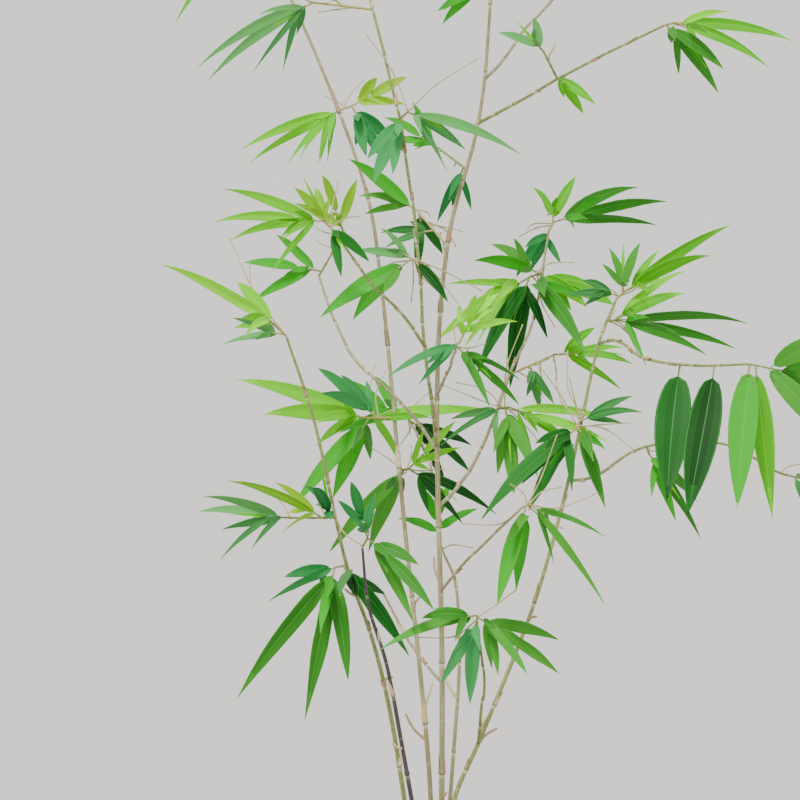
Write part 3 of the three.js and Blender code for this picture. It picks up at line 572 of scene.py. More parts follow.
for name, (foot, internodes, finish, through) in CANES.items():
    across, depth = through[0]
    first = [across, depth, SOIL_TOP + SEAT_GAP]
    places = np.array([spread_place(place) for place in [first] + through[1:]], float)

    def plain_radius(share, places=places, foot=foot):
        """Radius from foot to tip in even steps, plus a flare that fades with the rise above the foot."""
        rise = route_place(places, share)[..., 2] - places[0, 2]
        return lerp(foot, CANE_TIP, share) + FOOT_FLARE * np.exp(-rise / FLARE_HEIGHT)

    piece = limb_piece(name, places, plain_radius, internodes, CANE_SIDES, finish, True, CANE_GROOVE, 0)
    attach(piece, "root")
    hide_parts(name)

# The boughs: thinner side stems that leave a cane at a node and carry the leafy twigs.
# They are bamboo too, so each has nodes of its own, closer together, and sways a little between them. Each
# row is its carrier, the height where it leaves it, the radius at the foot, the finish, and its places.
BOUGH_SIDES = 12
BOUGH_INTERNODE = 34
BOUGH_ZIGZAG = 0.7
BOUGH_TIP = 1.2

BOUGHS = {
    "bough_front": ("cane_main", 617, 2.0, "olive", [
        [-8, -26, 660], [-16, -48, 721], [-23, -62, 820], [-40, -72, 940], [-70, -72, 1065],
        [-78, -66, 1130]]),
    "bough_left": ("bough_front", 718, 1.7, "olive", [
        [-36, -62, 748], [-66, -80, 778], [-106, -104, 832]]),
    "bough_back_left": ("cane_main", 612, 1.8, "straw", [
        [-32, 22, 655], [-85, 34, 706], [-108, 62, 750], [-122, 92, 790]]),
    "bough_high": ("cane_main", 558, 2.0, "straw", [
        [18, 18, 578], [42, 44, 616], [76, 86, 702], [96, 108, 747], [112, 132, 837]]),
    "bough_right": ("cane_main", 941, 1.7, "olive", [
        [80, -30, 963], [139, -66, 995], [218, -112, 1032]]),
    "bough_upper": ("cane_main", 985, 1.7, "straw", [
        [62, 18, 1004], [84, 48, 1036], [122, 82, 1080], [150, 104, 1125]]),
    "bough_low_right": ("cane_main", 473, 1.7, "straw", [
        [22, -22, 500], [48, -44, 527], [80, -66, 558]]),
    "bough_low_left": ("cane_main", 379, 1.7, "straw", [
        [-14, 14, 400], [-35, 26, 430], [-58, 30, 473]]),
    "shoot_low": ("cane_right", 322, 1.7, "olive", [
        [40, -50, 350], [43, -66, 390], [36, -84, 443]]),
    "bough_back_right": ("cane_right", 583, 1.7, "olive", [
        [158, 40, 589], [210, 84, 618], [290, 128, 620], [345, 150, 592]]),
    "bough_front_right": ("cane_right", 722, 1.8, "olive", [
        [178, 0, 724], [204, -40, 706], [250, -92, 699], [300, -134, 700]]),
    "bough_middle_front": ("cane_main", 668, 1.7, "straw", [
        [6, -44, 690], [14, -100, 712], [12, -150, 716]]),
    "bough_middle_back": ("cane_main", 520, 1.7, "straw", [
        [-4, 60, 570], [-12, 110, 610], [-28, 160, 640]]),
}


def share_at_height(places, height):
    """The first of 400 even shares at which a route reaches a height."""
    share = np.arange(401) / 400
    high = np.flatnonzero(route_place(places, share)[:, 2] >= height)
    return float(share[high[0]]) if len(high) else 1.0


for name, (on, height, foot, finish, through) in BOUGHS.items():
    carrier = limbs[on]["places"]
    base = route_place(carrier, share_at_height(carrier, height))
    places = np.array([base] + [spread_place(place) for place in through], float)

    def bough_radius(share, foot=foot):
        """Radius from foot to tip in even steps."""
        return lerp(foot, BOUGH_TIP, share)

    internodes = max(3, round(route_lengths(places)[1][-1] / BOUGH_INTERNODE))
    piece = limb_piece(name, places, bough_radius, internodes, BOUGH_SIDES, finish, False, 0, BOUGH_ZIGZAG)
    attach(piece, "root")
    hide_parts(name)

# The sheaths: dry papery scales left on many nodes, each wrapped most of the way round its limb and
# ending in a point. They clasp the limb at the foot and stand a little off it higher up.
SHEATH_LENGTHS = (9, 24)
SHEATH_WRAP = 115
SHEATH_SPREAD = 0.9
SHEATH_THICKNESS = 0.22
SHEATH_GAP = 0.16
SHEATH_SIDEWAYS = 40
CANE_SHEATHS = dict(chance=0.75, size=1.0)
BOUGH_SHEATHS = dict(chance=0.45, size=0.6)
TURNED_CANES = ("cane_main", "cane_pale")
SHEATH_SHADES = ("c2ab7d", "a98a63", "d3c39a", "b08d78")

sheath_rng = np.random.default_rng(61)
sheaths = []
for name, limb in limbs.items():
    kind = CANE_SHEATHS if name in CANES else BOUGH_SHEATHS
    length = route_lengths(limb["places"])[1][-1]
    for node in range(1, limb["internodes"]):
        if sheath_rng.uniform() > kind["chance"]:
            continue
        reach = lerp(*SHEATH_LENGTHS, sheath_rng.uniform()) * kind["size"]
        up_way = np.linspace(0, 1, 8)
        share = np.minimum(node / limb["internodes"] + up_way * reach / length, 1)
        turn = (node % 2) * 180 + sheath_rng.uniform(-SHEATH_SIDEWAYS, SHEATH_SIDEWAYS)
        turn = turn + (90 if name in TURNED_CANES else 0)
        wrap = SHEATH_WRAP * (1 - up_way ** 1.7) + 3
        angle = np.radians(turn + wrap[:, None] * np.linspace(-1, 1, 9))
        forward = route_heading(limb["places"], share)
        side = unit(np.cross(forward, BACK))
        other = np.cross(forward, side)
        ring = side[:, None] * np.cos(angle)[..., None] + other[:, None] * np.sin(angle)[..., None]
        clasp = 1.05 + 0.26 * np.exp(-(up_way * reach / 1.6 - 1) ** 2)
        clear = limb["radius"](share) * clasp + SHEATH_GAP
        clear = clear + SHEATH_SPREAD * up_way ** 2 * sheath_rng.uniform(0.3, 1.3)
        middle = route_place(limb["places"], share)[:, None]
        outer, inner = (middle + ring * (clear + lift)[:, None, None] for lift in (SHEATH_THICKNESS, 0.0))
        rings = np.concatenate([outer, inner[:, ::-1]], axis=1)
        sheaths.append((rings, sheath_rng.integers(len(SHEATH_SHADES))))


def plain_finish(name, code, roughness):
    """A finish of one plain colour, with a given roughness and hardly any shine."""
    material, _, shader = finish_with_nodes(name)
    shader.inputs["Base Color"].default_value = colour(code)
    shader.inputs["Roughness"].default_value = roughness
    shader.inputs["Specular IOR Level"].default_value = 0.12
    return material


sheath_finishes = [plain_finish(f"sheath_{k}", shade, 0.75) for k, shade in enumerate(SHEATH_SHADES)]
sheath_places, sheath_faces, sheath_finish = joined_solids(sheaths)
piece = make_piece("node_sheaths", sheath_places, sheath_faces, sheath_finishes, sheath_finish)
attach(piece, "root")

# The leafy shoots: from each node a short stem, from that a thin twig for each fan, and then the leaves.
# Each shoot grows by one seeded rule, in its own space, and leaves out what would cross a limb or shoot.
STEM_RADIUS = 1.6
STEM_RADII = (1.15, 0.95)
STEM_SPOTS = np.array([0.3, 0.6, 1.0])
TWIG_RADIUS = 1.4
TWIG_RADII = (0.95, 0.6)
TWIG_SPOTS = np.array([0.2, 0.4, 0.6, 0.8, 1.0])
OUTERMOST = 0.97
ROOT_SPREAD = 0.55
ROOT_STEP = 0.12
LEAF_LEAN_SHARE = 0.5
TWIG_LEAN_SHARE = 0.6
TWIG_START = 8
LEAF_STEP = 5
PETIOLE_WIDTH = 0.9
LEAF_ROWS = 9
KEEP_CLEAR = 0.8
TRIES = 16
CROSS_FREE = 0.2
TURN_SPREAD = 8
LENGTH_SPREAD = 0.12
LEAF_LEAN = 50
LEAF_LEAN_STEP = 8
LEAF_ROLL = 48
LEAST_SHOWN = 0.72
LEAST_DROOP = 0.08
DROOP_SPREAD = 0.16
TWIG_LEAN = 30
TWIG_LEAN_STEP = 10
STEM_BEND = 12

# Each fan: the share of the stem where its twig starts, the turns of its first and last leaf in degrees up
# from +X, the number of its leaves, the lengths of the first and last, their width, and their tint.
FAN_FACTS = ("out", "turn", "leaves", "long", "wide", "tint")
SHOOTS = {
    "foliage_left_tip": dict(on="cane_left", reach=14, aim=130, lean=-20, seed=11, fans=[
        (1, (154, 132), 2, (146, 62), 14, "lime"), (0.2, (185, 160), 2, (56, 48), 9, "grey")]),
    "foliage_left_lower": dict(on="cane_left", height=548, reach=48, aim=180, lean=-25, seed=13, fans=[
        (1, (192, 160), 3, (64, 92), 10, "grey"), (0.3, (156, 140), 2, (110, 62), 9, "yellow"),
        (0.1, (118, 84), 2, (46, 40), 12, "teal")]),
    "foliage_left_hanging": dict(on="cane_left", height=500, reach=14, aim=190, lean=-30, seed=14, fans=[
        (1, (234, 284), 3, (136, 90), 19, "mid"), (0.3, (306, 294), 2, (92, 78), 18, "dark"),
        (0.6, (205, 188), 2, (70, 46), 12, "teal")]),
    "foliage_black_tip": dict(on="cane_black", reach=12, aim=60, lean=-30, seed=15, fans=[
        (1, (298, 335), 3, (80, 46), 13, "mid"), (1, (80, 130), 3, (46, 50), 11, "teal")]),
    "foliage_pale_middle": dict(on="cane_pale", height=645, reach=30, aim=180, lean=12, seed=16, fans=[
        (1, (162, 176), 2, (147, 96), 18, "lime"), (0.9, (232, 248), 2, (106, 70), 18, "mid"),
        (0.6, (128, 150), 3, (66, 62), 13, "teal"), (1, (4, -12), 2, (142, 78), 14, "lime")]),
    "foliage_pale_low": dict(on="cane_pale", height=594, reach=12, aim=5, lean=25, seed=17, fans=[
        (1, (-22, -42), 3, (84, 64), 13, "dark"), (0.5, (225, 242), 2, (98, 80), 16, "mid"),
        (0.9, (70, 20), 3, (50, 56), 9, "lime")]),
    "foliage_pale_upper": dict(on="cane_pale", height=958, reach=16, aim=20, lean=20, seed=18, fans=[
        (0.2, (196, 216), 3, (96, 78), 11, "lime"), (1, (-35, -80), 3, (46, 38), 14, "teal"),
        (1, (0, 55), 3, (52, 40), 11, "yellow")]),
    "foliage_pale_tip": dict(on="cane_pale", reach=36, aim=110, lean=25, seed=19, fans=[
        (1, (190, 70), 5, (104, 96), 14, "mid"), (0.3, (225, 165), 3, (92, 88), 13, "lime")]),
    "foliage_front_arm": dict(on="bough_front", height=1050, reach=64, aim=174, lean=-20, seed=21, fans=[
        (1, (206, 214), 2, (116, 110), 11, "grey"), (0.5, (160, 120), 2, (84, 76), 11, "mid")]),
    "foliage_front_upper": dict(on="bough_front", height=942, reach=12, aim=40, lean=-30, seed=22, fans=[
        (1, (-16, -30), 2, (116, 56), 11, "grey"), (0.4, (230, 262), 3, (46, 40), 13, "teal")]),
    "foliage_front_middle": dict(on="bough_front", height=805, reach=10, aim=195, lean=-25, seed=23, fans=[
        (1, (206, 222), 2, (94, 62), 18, "mid"), (0.6, (170, 130), 2, (56, 48), 9, "grey"),
        (0.4, (-50, -74), 2, (40, 34), 11, "dark")]),
    "foliage_front_tip": dict(on="bough_front", reach=34, aim=96, lean=-25, seed=24, fans=[
        (1, (150, 30), 5, (98, 92), 14, "mid"), (0.3, (190, 225), 2, (84, 78), 13, "lime"),
        (0.3, (-10, 25), 2, (84, 78), 12, "teal")]),
    "foliage_left_arm": dict(on="bough_left", reach=12, aim=135, lean=-15, seed=25, fans=[
        (1, (164, 190), 3, (100, 82), 11, "lime"), (0.6, (130, 105), 2, (48, 42), 10, "yellow"),
        (0.3, (-40, -75), 2, (42, 38), 11, "dark")]),
    "foliage_back_left": dict(on="bough_back_left", reach=56, aim=60, lean=15, seed=26, fans=[
        (1, (150, 70), 3, (58, 54), 10, "yellow"), (0.1, (140, 200), 3, (58, 66), 11, "mid")]),
    "foliage_main_left": dict(on="cane_main", height=817, reach=56, aim=130, lean=22, seed=27, fans=[
        (1, (142, 158), 2, (94, 64), 14, "mid"), (0.9, (-58, -95), 2, (36, 44), 11, "dark"),
        (0.4, (178, 198), 2, (50, 42), 9, "grey")]),
    "foliage_main_upper": dict(on="cane_main", height=894, reach=40, aim=142, lean=20, seed=28, fans=[
        (1, (120, 176), 3, (54, 50), 9, "mid"), (0.1, (242, 258), 2, (52, 44), 11, "teal")]),
    "foliage_main_high": dict(on="cane_main", height=1072, reach=12, aim=150, lean=30, seed=29, fans=[
        (1, (204, 214), 2, (44, 40), 10, "mid"), (1, (150, 60), 4, (90, 80), 13, "lime")]),
    "foliage_main_top": dict(on="cane_main", height=1185, reach=34, aim=40, lean=-30, seed=30, fans=[
        (1, (60, -20), 4, (94, 88), 13, "mid"), (0.3, (150, 200), 3, (90, 84), 13, "lime")]),
    "foliage_main_tip": dict(on="cane_main", reach=26, aim=95, lean=5, seed=31, fans=[
        (1, (165, 15), 6, (92, 92), 13, "lime"), (0.1, (190, 170), 2, (80, 70), 12, "teal")]),
    "foliage_upper_tip": dict(on="bough_upper", reach=28, aim=55, lean=25, seed=32, fans=[
        (1, (110, -10), 5, (96, 92), 14, "mid"), (0.2, (-10, 20), 2, (86, 78), 12, "lime")]),
    "foliage_right_tip": dict(on="bough_right", reach=12, aim=15, lean=-15, seed=33, fans=[
        (1, (-8, -20), 2, (120, 84), 12, "lime"), (0.2, (-36, -52), 2, (58, 64), 13, "mid")]),
    "foliage_right_middle": dict(on="bough_right", along=0.55, reach=34, aim=118, lean=-30, seed=34, fans=[
        (1, (105, 160), 2, (40, 46), 9, "grey"), (0.1, (-30, -52), 2, (42, 38), 10, "lime")]),
    "foliage_high_tip": dict(on="bough_high", reach=12, aim=60, lean=15, seed=35, fans=[
        (1, (26, 2), 3, (104, 96), 13, "mid"), (0.7, (60, 115), 2, (60, 52), 11, "lime"),
        (0.1, (232, 250), 2, (48, 44), 13, "teal")]),
    "foliage_high_fan": dict(on="bough_high", height=795, reach=16, aim=200, lean=-30, seed=36, fans=[
        (1, (260, 238), 2, (86, 84), 19, "dark"), (1, (226, 196), 4, (76, 92), 12, "lime"),
        (0.8, (-54, -36), 2, (98, 84), 17, "mid"), (0.4, (-28, -14), 3, (50, 66), 14, "lime"),
        (0.2, (170, 144), 2, (74, 58), 13, "mid")]),
    "foliage_high_middle": dict(on="bough_high", height=690, reach=60, aim=24, lean=25, seed=37, fans=[
        (1, (35, -30), 4, (54, 62), 10, "lime"), (0.4, (-55, -80), 2, (36, 32), 10, "grey")]),
    "foliage_high_low": dict(on="bough_high", height=655, reach=14, aim=8, lean=-35, seed=38, fans=[
        (1, (-6, -34), 3, (112, 64), 10, "lime"), (0.7, (-66, -100), 3, (64, 52), 15, "mid"),
        (0.2, (205, 188), 2, (64, 52), 9, "grey")]),
    "foliage_right_cane_low": dict(on="cane_right", height=650, reach=18, aim=240, lean=-35, seed=39, fans=[
        (1, (222, 242), 2, (110, 84), 19, "dark"), (0.8, (284, 312), 2, (74, 62), 13, "mid"),
        (0.5, (8, 32), 2, (66, 54), 9, "grey")]),
    "foliage_right_cane_node": dict(on="cane_right", height=744, reach=12, aim=5, lean=30, seed=41, fans=[
        (1, (-20, 0), 3, (92, 124), 11, "mid"), (0.8, (34, 22), 2, (106, 74), 12, "lime")]),
    "foliage_right_cane_tip": dict(on="cane_right", reach=14, aim=45, lean=20, seed=42, fans=[
        (1, (34, 22), 2, (130, 106), 13, "lime"), (0.4, (178, 150), 2, (48, 42), 9, "grey"),
        (0.8, (70, 110), 2, (60, 56), 10, "mid")]),
    "foliage_hanging_dark": dict(on="bough_front_right", along=0.68, reach=4, aim=262, lean=-20, seed=43,
                                  roll=16, fans=[
        (0.8, (259, 262), 1, (108,), 36, "dark")]),
    "foliage_hanging_bright": dict(on="bough_front_right", along=0.84, reach=4, aim=280, lean=-15, seed=44,
                                  roll=16, fans=[
        (0.8, (261, 262), 1, (128,), 33, "dark")]),
    "foliage_hanging_tip": dict(on="bough_front_right", reach=10, aim=-10, lean=-20, seed=45, roll=24, fans=[
        (0.1, (262, 263), 1, (116,), 29, "mid"), (0.7, (274, 276), 1, (122,), 22, "lime"),
        (1, (-46, 22), 4, (106, 90), 22, "mid")]),
    "foliage_back_right": dict(on="bough_back_right", along=0.5, reach=10, aim=290, lean=25, seed=46, fans=[
        (1, (-70, -40), 3, (62, 68), 12, "mid"), (0.2, (60, 100), 2, (50, 56), 10, "grey")]),
    "foliage_back_right_tip": dict(on="bough_back_right", reach=12, aim=-20, lean=20, seed=47, fans=[
        (1, (-60, 35), 5, (72, 84), 12, "grey")]),
    "foliage_low_right": dict(on="bough_low_right", reach=9, aim=25, lean=-25, seed=48, fans=[
        (1, (-48, -20), 2, (108, 70), 9, "mid"), (0.5, (250, 268), 2, (80, 62), 17, "mid")]),
    "foliage_low_shoot": dict(on="shoot_low", reach=10, aim=90, lean=-20, seed=49, fans=[
        (1, (198, 176), 2, (96, 50), 13, "mid"), (0.8, (-46, -16), 3, (60, 76), 14, "mid"),
        (0.5, (262, 236), 2, (60, 54), 15, "teal")]),
    "foliage_middle_front": dict(on="bough_middle_front", reach=10, aim=40, lean=-30, seed=50, fans=[
        (1, (206, 226), 2, (66, 50), 10, "teal"), (0.8, (100, 20), 4, (40, 54), 9, "lime"),
        (0.3, (-60, -20), 3, (48, 60), 10, "mid")]),
    "foliage_middle_back": dict(on="bough_middle_back", reach=12, aim=120, lean=35, seed=51, fans=[
        (1, (200, 120), 4, (64, 62), 13, "mid"), (0.5, (300, 345), 3, (62, 58), 13, "dark")]),
    "foliage_short_tip": dict(on="cane_short", reach=18, aim=110, lean=25, seed=52, fans=[
        (1, (160, 30), 4, (52, 48), 11, "mid")]),
}
for shoot in SHOOTS.values():
    shoot["fans"] = [dict(zip(FAN_FACTS, fan)) for fan in shoot["fans"]]


def draws_from(seed):
    """A repeatable run of numbers between 0 and 1: each state is 16807 times the last, modulo 2 ** 31 - 1."""
    state = seed * 7919
    while True:
        state = 16807 * state % 2147483647
        yield state / 2147483647


def heading(aim, lean):
    """The unit heading that aims so many degrees up from +X and leans so many degrees back: across and up
    are the cosine and sine of the aim times the cosine of the lean, and back is the sine of the lean."""
    a = math.radians(aim)
    b = math.radians(lean)
    return np.array([math.cos(a) * math.cos(b), math.sin(b), math.sin(a) * math.cos(b)])


def leaf_places(leaf, share):
    """The middle of a leaf: straight out along its heading, falling with the square of the way."""
    way = leaf["length"] * np.asarray(share, float)[..., None]
    fall = leaf["droop"] * leaf["length"] * np.asarray(share, float)[..., None] ** 2
    return leaf["root"] + leaf["direction"] * way - UP * fall


def leaf_half_width(leaf, share):
    """Half a leaf's width: the sine of pi times the 0.62 power of the share, and nothing at the point."""
    full = np.sin(np.pi * np.minimum(1, 0.06 + 0.94 * share) ** 0.62)
    return np.maximum(PETIOLE_WIDTH / 2, leaf["width"] / 2 * full) * (share < 1)


def leaf_spots(leaf, start=0.0):
    """Balls that cover a leaf: three across each row, as centres and radii."""
    share = np.arange(1, LEAF_ROWS + 1) / LEAF_ROWS
    share = share[share >= start]
    half = leaf_half_width(leaf, share)
    radius = np.maximum(half / 2, leaf["length"] / LEAF_ROWS / 2)
    middle = leaf_places(leaf, share)
    centres = middle[:, None] + leaf["side"] * (half[:, None, None] * np.array([-0.6, 0, 0.6])[:, None])
    return centres.reshape(-1, 3), np.repeat(radius, 3)


def is_free(centres, radii, other_centres, other_radii, clearance):
    """True where no ball comes nearer than the clearance to any other ball."""
    if not len(other_radii):
        return True
    gap = ((centres[:, None] - other_centres[None]) ** 2).sum(axis=-1)
    return bool((gap > (radii[:, None] + other_radii[None] + clearance) ** 2).all())


def grow_leaf(draw, shoot, fan, number, twig, near, siblings):
    """One leaf of a fan, turned until it is free of what was there before, or nothing."""
    share = number / max(1, fan["leaves"] - 1)
    aim = lerp(*fan["turn"], share) + (next(draw) - 0.5) * TURN_SPREAD
    shown = lerp(fan["long"][0], fan["long"][-1], share) * (1 + LENGTH_SPREAD * (next(draw) - 0.5))
    sideways = abs(2 * share - 1)
    root = route_place(twig, OUTERMOST - ROOT_SPREAD * sideways - (ROOT_STEP if share < 0.5 else 0))
    for n in range(TRIES):
        lean = shoot["lean"] * LEAF_LEAN_SHARE + (next(draw) - 0.5) * (LEAF_LEAN + LEAF_LEAN_STEP * n)
        roll = math.radians((next(draw) - 0.5) * 2 * shoot.get("roll", LEAF_ROLL))
        droop = LEAST_DROOP + DROOP_SPREAD * next(draw)
        direction = heading(aim + math.degrees(droop) * math.cos(math.radians(aim)), lean)
        length = shown / max(LEAST_SHOWN, math.cos(math.radians(lean)))
        flat = unit(np.cross(direction, BACK))
        square = np.cross(flat, direction)
        side = flat * math.cos(roll) + square * math.sin(roll)
        leaf = dict(root=root, direction=direction, side=side, flat=flat, square=square, roll=roll,
                    length=length, width=fan["wide"], droop=droop, tint=fan["tint"],
                    place=number - (fan["leaves"] - 1) / 2)
        clear = is_free(*leaf_spots(leaf), *near, KEEP_CLEAR)
        if clear and is_free(*leaf_spots(leaf, CROSS_FREE), *siblings, 0):
            return leaf
    return None


def grow_twig(draw, shoot, fan, stem, near):
    """The twig of a fan, leaned until it is free, or nothing."""
    middle = sum(fan["turn"]) / 2
    root = route_place(stem, min(fan["out"], OUTERMOST))
    length = TWIG_START + LEAF_STEP * fan["leaves"]
    for n in range(TRIES):
        lean = shoot["lean"] * TWIG_LEAN_SHARE + (next(draw) - 0.5) * (TWIG_LEAN + TWIG_LEAN_STEP * n)
        twig = np.array([root, root + heading(middle, lean) * length])
        centres = route_place(twig, TWIG_SPOTS)
        if is_free(centres, np.full(len(TWIG_SPOTS), TWIG_RADIUS), *near, KEEP_CLEAR):
            return twig, centres
    return None, None


def joined(blocks):
    """Balls from several blocks of (centres, radii), as one block."""
    if not blocks:
        return np.zeros((0, 3)), np.zeros(0)
    return np.vstack([centres for centres, _ in blocks]), np.concatenate([radii for _, radii in blocks])


leaves = []
twigs = []
for name, shoot in SHOOTS.items():
    draw = draws_from(shoot["seed"])
    carrier = limbs[shoot["on"]]
    along = shoot.get("along", 1.0)
    if "height" in shoot:
        along = share_at_height(carrier["places"], shoot["height"])
    direction = heading(shoot["aim"], shoot["lean"])
    base = route_place(carrier["places"], along)
    if along == 1:
        forward = route_heading(carrier["places"], 1.0)
        sine = math.sqrt(max(0, 1 - float(forward @ direction) ** 2))
        base = base + forward * (SEAT_GAP + STEM_RADIUS * sine)
    half_reach = shoot["reach"] * 0.5
    bend = heading(shoot["aim"], shoot["lean"] + STEM_BEND)
    stem = np.array([base, base + direction * half_reach, base + (direction + bend) * half_reach])
    near = (np.vstack(taken_centres), np.concatenate(taken_radii))
    own = []
    siblings = []
    twigs.append(dict(places=stem, radii=STEM_RADII, shoot=name))
    for fan in shoot["fans"]:
        twig, centres = grow_twig(draw, shoot, fan, stem, near)
        if twig is None:
            continue
        own.append((centres, np.full(len(TWIG_SPOTS), TWIG_RADIUS)))
        twigs.append(dict(places=twig, radii=TWIG_RADII, shoot=name))
        for number in range(fan["leaves"]):
            leaf = grow_leaf(draw, shoot, fan, number, twig, near, joined(siblings))
            if leaf:
                leaf["twig"] = len(twigs) - 1
                leaves.append(leaf)
                own.append(leaf_spots(leaf))
                siblings.append(leaf_spots(leaf, CROSS_FREE))
    own.append((route_place(stem, STEM_SPOTS), np.full(len(STEM_SPOTS), STEM_RADIUS)))
    for centres, radii in own:
        taken_centres.append(centres)
        taken_radii.append(radii)

# Young leaves still rolled into a spear, one at the end of most twigs, and small leaves along the twigs: some
# near the fan's own plane, some standing out of it to fill the crown from the sides. They keep to the room
# left free. Each of SMALL_KINDS is a range of lengths, as shares of the fan's leaf, and one of leans.
SPEAR_CHANCE = 0.75
SPEAR_LENGTHS = (24, 46)
SPEAR_WIDTH = 3.2
SPEAR_DROOP = 0.02
SMALL_KINDS = (((0.34, 0.6), (0, 60)), ((0.5, 0.8), (50, 85)))
SMALL_CHANCE = 1.0
SMALL_TRIES = 6
SMALL_SWING = 48
SMALL_ROOTS = (0.3, 0.9)
SMALL_ROLL = 40
SMALL_LAYER = 2.5
SMALL_WIDTH_SHARE = 0.62
SMALL_LEAST_WIDTH = 6
SMALL_DROOPS = (0.08, 0.2)
NEAR_TWIG = 0.35
OUTER_HALF = 0.5

extra = draws_from(77)
fans_by_twig = {}
for leaf in leaves:
    fans_by_twig.setdefault(leaf["twig"], []).append(leaf)
taken_now = (np.vstack(taken_centres), np.concatenate(taken_radii))
small_leaves = []
for number, fan_leaves in fans_by_twig.items():
    twig = twigs[number]["places"]
    out = unit(twig[1] - twig[0])
    others = joined([leaf_spots(leaf, NEAR_TWIG) for leaf in fan_leaves])
    flat = unit(np.cross(out, BACK))
    hangs = "roll" in SHOOTS[twigs[number]["shoot"]]
    if next(extra) < SPEAR_CHANCE and not hangs:
        small_leaves.append(dict(root=twig[1] - out * 2, direction=out, side=flat, flat=flat,
                                 square=np.cross(flat, out), roll=0.0, place=0.0, width=SPEAR_WIDTH,
                                 length=lerp(*SPEAR_LENGTHS, next(extra)), droop=SPEAR_DROOP, tint="lime",
                                 twig=number, rolled=True, small=True))
    for pattern, sizes, leans in [(leaf, *kind) for leaf in fan_leaves for kind in SMALL_KINDS]:
        if next(extra) > SMALL_CHANCE or hangs:
            continue
        length = pattern["length"] * lerp(*sizes, next(extra))
        for n in range(SMALL_TRIES):
            swing = math.radians(lerp(-SMALL_SWING, SMALL_SWING, next(extra)))
            lean = math.radians(lerp(*leans, next(extra))) * (1 if next(extra) < 0.5 else -1)
            ahead = out * math.cos(swing) + flat * math.sin(swing)
            direction = unit(ahead * math.cos(lean) + BACK * math.sin(lean))
            side = unit(np.cross(direction, BACK))
            leaf = dict(root=route_place(twig, lerp(*SMALL_ROOTS, next(extra))), direction=direction,
                        side=side, flat=side, square=np.cross(side, direction),
                        roll=math.radians(lerp(-SMALL_ROLL, SMALL_ROLL, next(extra))),
                        place=lerp(-SMALL_LAYER, SMALL_LAYER, next(extra)), length=length,
                        width=max(SMALL_LEAST_WIDTH, pattern["width"] * SMALL_WIDTH_SHARE),
                        droop=lerp(*SMALL_DROOPS, next(extra)), tint=pattern["tint"], twig=number, small=True)
            spots = leaf_spots(leaf, NEAR_TWIG)
            outer_spots = leaf_spots(leaf, OUTER_HALF)
            if is_free(*spots, *others, 0) and is_free(*outer_spots, *taken_now, KEEP_CLEAR):
                small_leaves.append(leaf)
                taken_now = joined([taken_now, spots])
                break
leaves = leaves + small_leaves

# The leaf blades: thin, long and pointed, with a short stalk, a pale midrib, a paler underside and mostly a
# dry tip, each with its own twist, sickle bend, fold and waved edge. They are joined by tint, and shades are
# dealt out by twig and length. Each row of LEAF_TINTS is a slot, the blade's three shades, the underside,
# midrib and edge, and how far the blade beside the midrib goes toward the midrib's colour.
BLADE_THICKNESS = 0.26
LEAST_HALF_WIDTH = 0.42
BLADE_SHARES = np.array([0.0, 0.045, 0.085, 0.15, 0.24, 0.35, 0.47, 0.59, 0.71, 0.82, 0.91, 0.97])
BLADE_COLUMNS = np.array([1.0, 0.9, 0.45, 0.035, -0.035, -0.45, -0.9, -1.0])
UNDER_COLUMNS = np.array([-0.9, -0.45, 0.0, 0.45, 0.9])
STALK_SHARE = 0.045
CLASPED_ROWS = 2
LAYER_STEP = 1.3
TWISTS = (24, 9)
SICKLE = 0.045
FOLDS = (0.08, 0.3)
ROLLED_FOLD = 1.4
WAVE_HEIGHT = 0.08
WAVE_COUNTS = (1.2, 2.4)
DRY_TIP_CHANCE = 0.75
DRY_TIP = "c9b07c"
SHADES_BY_LIGHT = np.array([2, 0, 1])
SHADE_SLOPES = (0, 1.7, 1.7, -1.2)

LEAF_TINTS = {
    "lime": ("leaf_bright", ("6ccc0e", "8ae612", "4eae0e"), "92c846", "84d828", "80d428", 0.12),
    "yellow": ("leaf_bright", ("78b40e", "90c814", "5e980e"), "9cb848", "92c42a", "92c42c", 0.12),
    "mid": ("leaf_green", ("44922a", "36a01e", "347e22"), "5ea048", "4ca234", "4a9c34", -0.14),
    "dark": ("leaf_dark", ("185c18", "226c22", "124a12"), "3a7c36", "2e7a34", "307a30", -0.3),
    "teal": ("leaf_pale", ("2a8240", "3a964e", "1e7034"), "56a468", "40984e", "449850", 0.16),
    "grey": ("leaf_pale", ("3c8440", "549c4c", "2c7032"), "78ae74", "549a52", "5ca05a", 0.16),
}

BLADE_ROWS = len(BLADE_SHARES)
BLADE_AROUND = len(BLADE_COLUMNS) + len(UNDER_COLUMNS)
BLADE_COUNT = BLADE_ROWS * BLADE_AROUND + 2
blade_rows = ring_faces(BLADE_ROWS, BLADE_AROUND).reshape(BLADE_ROWS - 1, BLADE_AROUND, 4)
blade_rows[:, len(BLADE_COLUMNS):] = np.roll(blade_rows[:, len(BLADE_COLUMNS):], -1, axis=-1)
blade_point = cap_faces((BLADE_ROWS - 1) * BLADE_AROUND, BLADE_AROUND, BLADE_COUNT - 2, False)
blade_stalk = cap_faces(0, BLADE_AROUND, BLADE_COUNT - 1, True)
free_part = blade_rows[CLASPED_ROWS:].reshape(-1, 4).tolist() + blade_point.tolist()


def blade_outline(share, blunt):
    """Half width by share: t to the power p, times 1 less t to the power k, raised to the power q. The
    widest place of each leaf is set to 1."""
    t = np.clip((share - STALK_SHARE) / (1 - STALK_SHARE), 0, 1)
    shape = t ** lerp(0.62, 0.4, blunt) * (1 - t ** lerp(1, 2.2, blunt)) ** lerp(1.2, 1.05, blunt)
    return shape / shape.max(axis=1, keepdims=True)


